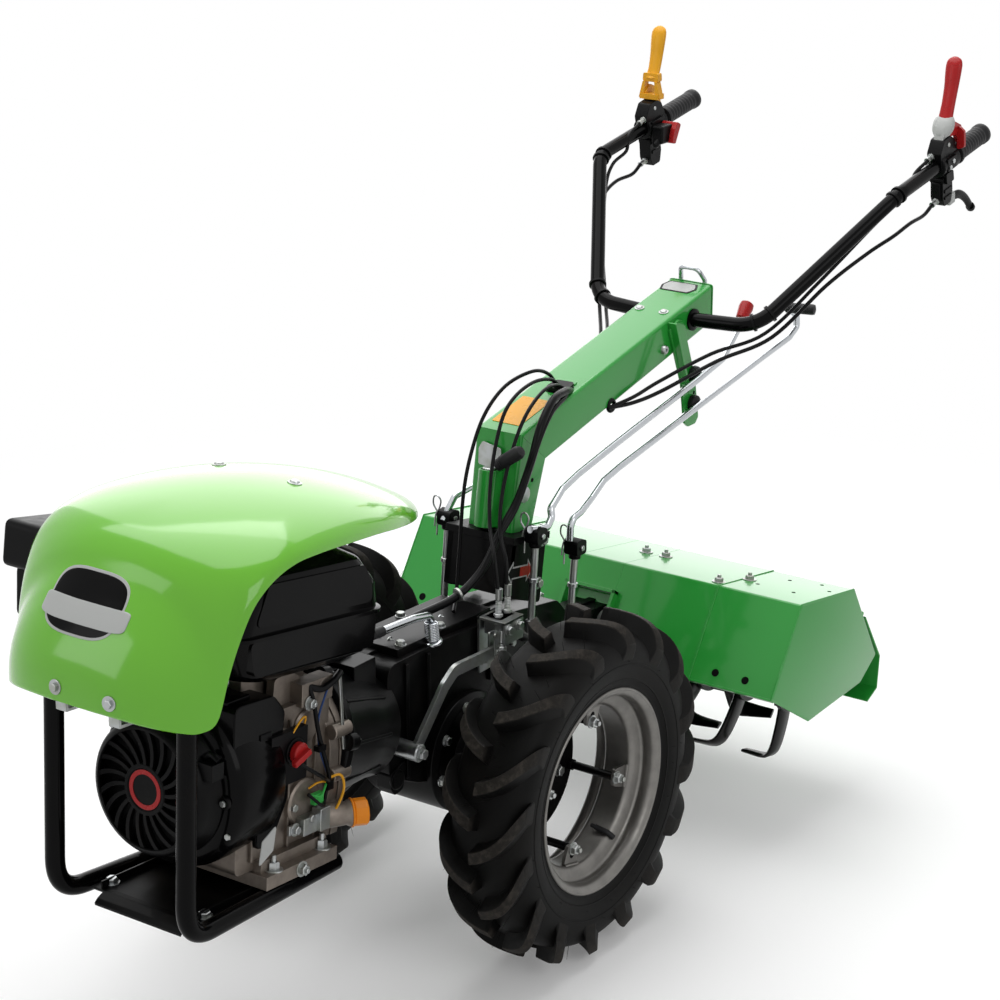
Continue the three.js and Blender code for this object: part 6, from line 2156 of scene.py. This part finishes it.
frame_lip = [
    front_bar(-50, -44, 4, 112, 0, 15), front_bar(44, 50, 4, 112, 0, 15),
    front_bar(-50, 50, 106, 112, 0, 15)
]
inner_panel = [front_bar(-44, 44, 84, 108, -9, 2)]
lower_hem = [both_sides(front_bar(50, CORE_HALF, -2, 1.5, -12, 13))]
make_piece(
    "hood_middle", [*core_parts, *frame_lip, *inner_panel, *lower_hem], FRAME_GREEN, ["tiller_hood"],
    bevel=0.7
)
plate_corners = [(491, 160), (676, 129), (768, -22), (714, -56), (530, -62), (398, 22)]
end_sheet = side_plate(sheet_outline(raised(hood_fold, 0.2), 5, 3), CORE_HALF + 0.5, HOOD_HALF - 2)
seam = side_plate(sheet_outline(raised(hood_fold, 1.8), 5, 2), CORE_HALF + 0.4, CORE_HALF + 3.6)
plate_low, plate_high = rounded(plate_corners, 4, 4), rounded(outline_grown(plate_corners, -3.5), 4, 4)
plate_levels = ((HOOD_HALF - 2.8, plate_low), (HOOD_HALF - 0.8, plate_low), (HOOD_HALF + 0.4, plate_high))
plate_rows = np.stack([np.column_stack([np.full(len(ring), x), ring]) for x, ring in plate_levels])
hem = front_bar(CORE_HALF + 0.6, HOOD_HALF - 2, -2, 1.5, -12, 13)
end_shape = joined(end_sheet, seam, rows_shape(plate_rows), hem)
for side, flip in SIDES:
    make_piece(f"hood_panel_{side}", flip(end_shape), FRAME_GREEN, [f"hood_end_{side}"], bevel=0.6)
top_out = np.array([0, 31.0, 184.0]) / math.hypot(31, 184)


def on_hood_top(x, y, lift=0.0):
    """A place on the flat top of the hood, which falls 31 in 184, raised square to it."""
    return np.array([x, y, 158 - (y - 491) * 31 / 184]) + lift * top_out


bolt_spots = [(-187, 576), (19, 598), (58, 599), (214, 513), (237, 576)]
hood_bolts = []
for x, y in bolt_spots:
    washer = turned(on_hood_top(x, y), top_out, [(-0.5, 12), (1.6, 12), (2, 8)], 28)
    hood_bolts += [washer, hex_bolt(on_hood_top(x, y, 1.8), top_out, 13, 7, stud=4)]
make_piece("hood_bolts", hood_bolts, ZINC, bevel=0.4)
# painted shade: small dark discs on the top and front of the hood stand for the shade in its holes
top_spots = [(333, 654), (364, 622), (282, 635), (262, 560), (330, 560)]
top_hole_shade = [turned(on_hood_top(x, y), top_out, [(-1, 3.4), (0.5, 3.4)], 18) for x, y in top_spots]
turn = whole_turn(24)
hole_shade_ring = 6.5 * np.stack([np.cos(turn), np.sin(turn)], -1)
front_hole_shade = [on_hood_front((x, 21) + hole_shade_ring, 0.1, 0.5) for x in (271, 327, -271, -327)]
make_piece("hood_hole_shade", [*top_hole_shade, *front_hole_shade], HOLE_SHADE)
softened_copy("rear_flap", FRAME_GREEN, 0.8, 2)
softened_copy("hood_stay", BLACK_SATIN, 2, 2)
softened_copy("depth_spur", BLACK_SATIN, 2.5, 3)
print("hood with", len(bolt_spots), "bolts")

# %% [markdown]
# ## Gear case and rotor
#
# The tiller's case hangs on a flange of the gearbox, and its shaft carries bent blades on flanges.
# Modelling each blade would work; one section carried along a line and turned about the shaft by a loop
# makes them all.

# %% Gear case of the tiller and the rotor
ROTOR = np.array([0, 575.0, -15.0])
case_line = [
    (374, 8), (444, -52), (545, -86), (595, -84), (637, -44), (641, 0), (615, 52), (515, 86), (394, 98),
    (374, 98)
]
tiller_parts = [
    soft_plate(case_line, 20, -31, 31, 6),
    soft_plate(outline_grown(case_line, 4), 22, -7, 7, 6),
    rod(ROTOR - (46, 0, 0), ROTOR + (46, 0, 0), 44, 56, 4),
    rod((0, 300.3, 66), (0, 320, 66), 66, 64, 3),
    rod((0, 319, 66), (0, 384, 56), 46, 56, 2),
    ring_of(6, 56, (0, 320, 66), BACK, lambda place: hex_bolt(place, BACK, 15, 8, washer=11), 0.3),
    both_sides(ring_of(6, 34, ROTOR + (46, 0, 0), LEFT, lambda place: hex_bolt(place, LEFT, 11, 5), 0.2)),
]
make_piece("tiller_gear_case", tiller_parts, BLACK_CAST, ["tiller_case"], bevel=2.2, segments=3)
TINE_FLANGES = [92, 168, 244, 320]
TINES = 4


def blade_strip(side):
    """One tine about the middle of its flange: stations of (y, z, x), half width and half thickness, carried
    as a flat section whose wide direction stays square to the line of the blade."""
    line = smooth_line(
        [
            (-4, 30, 0), (-6, 60, 0), (-2, 88, 0), (3, 116, 1.5 * side), (3, 133, 8 * side),
            (-1, 141, 24 * side), (-6, 143, 64 * side)
        ],
        7
    )
    way = np.gradient(line[:, [2, 0, 1]], axis=0)
    way /= np.linalg.norm(way, axis=1)[:, None]
    wide = np.tile((0.0, 1.0, 0.0), (len(line), 1))
    wide = wide - np.sum(wide * way, 1)[:, None] * way
    wide /= np.linalg.norm(wide, axis=1)[:, None]
    thick = np.cross(way, wide)
    k = np.linspace(0, 1, len(line))
    half = np.interp(k, [0, 0.25, 0.6, 0.85, 1], [19, 19, 17, 13, 9])[:, None]
    edge = np.interp(k, [0, 0.6, 1], [4.2, 3.8, 2.6])[:, None]
    centre = line[:, [2, 0, 1]]
    ring = [(-1, -0.5), (-0.8, -1), (0.8, -1), (1, -0.4), (1, 0.4), (0.8, 1), (-0.8, 1), (-1, 0.5)]
    return rows_shape(np.stack([centre + a * half * wide + b * edge * thick for a, b in ring], 1))


def turned_about_rotor(shape, angle, x):
    """A shape about the origin turned about the X axis, then put on the rotor's shaft at x."""
    corners, faces = shape
    c, s = math.cos(angle), math.sin(angle)
    turn = np.array([[1, 0, 0], [0, c, -s], [0, s, c]])
    return corners @ turn.T + ROTOR + (x, 0, 0), faces


rotor_parts = [
    rod(ROTOR + (35, 0, 0), ROTOR + (TINE_FLANGES[-1] + 4, 0, 0), 17, 40, 2),
    rod(ROTOR + (60, 0, 0), ROTOR + (90, 0, 0), 27, 40, 3),
    rod(ROTOR + (48, 0, 0), ROTOR + (60, 0, 0), 34, 40, 2),
]
for i, x in enumerate(TINE_FLANGES):
    inward = i in (2, 3)
    rotor_parts.append(rod(ROTOR + (x, 0, 0), ROTOR + (x + 8, 0, 0), 56, 56, 1))
    rotor_parts.append(rod(ROTOR + (x - 12, 0, 0), ROTOR + (x + 1, 0, 0), 25, 40, 2))
    for k in range(TINES):
        angle = math.radians(360 / TINES * k + 22 * i + 12)
        side = -1 if inward or (k % 2 and i) else 1
        foot_x = x - 4.2 if side < 0 else x + 12.4
        rotor_parts.append(turned_about_rotor(blade_strip(side), angle, foot_x))
        for y, z in ((-14, 44), (8, 44)):
            corners = turned_about_rotor((np.array([[0, y, z]], float), []), angle, foot_x + 4 * side)[0][0]
            rotor_parts.append(hex_bolt(corners, (side, 0, 0), 13, 7))
for side, flip in SIDES:
    make_piece(
        f"rotor_blades_{side}", flip(joined(*rotor_parts)), TINE_STEEL, [f"rotor_{side}"],
        body=body_of(f"rotor_{side}"), sharp=40
    )
print("rotor with", 2 * TINES * len(TINE_FLANGES), "tines")

# %% [markdown]
# ## Finishing the CAD parts
#
# Every CAD part wears a procedural finish, even where a finer piece stands for it. A loop over the frame's
# nodes is short and can't miss one.

# %% Finishes on the CAD parts
for node, cad in frame["nodes"].items():
    for slot in cad.material_slots:
        slot.material = FINISH_OF_SLOT[slot_of(node)].material
print(len(frame["nodes"]), "CAD parts painted")
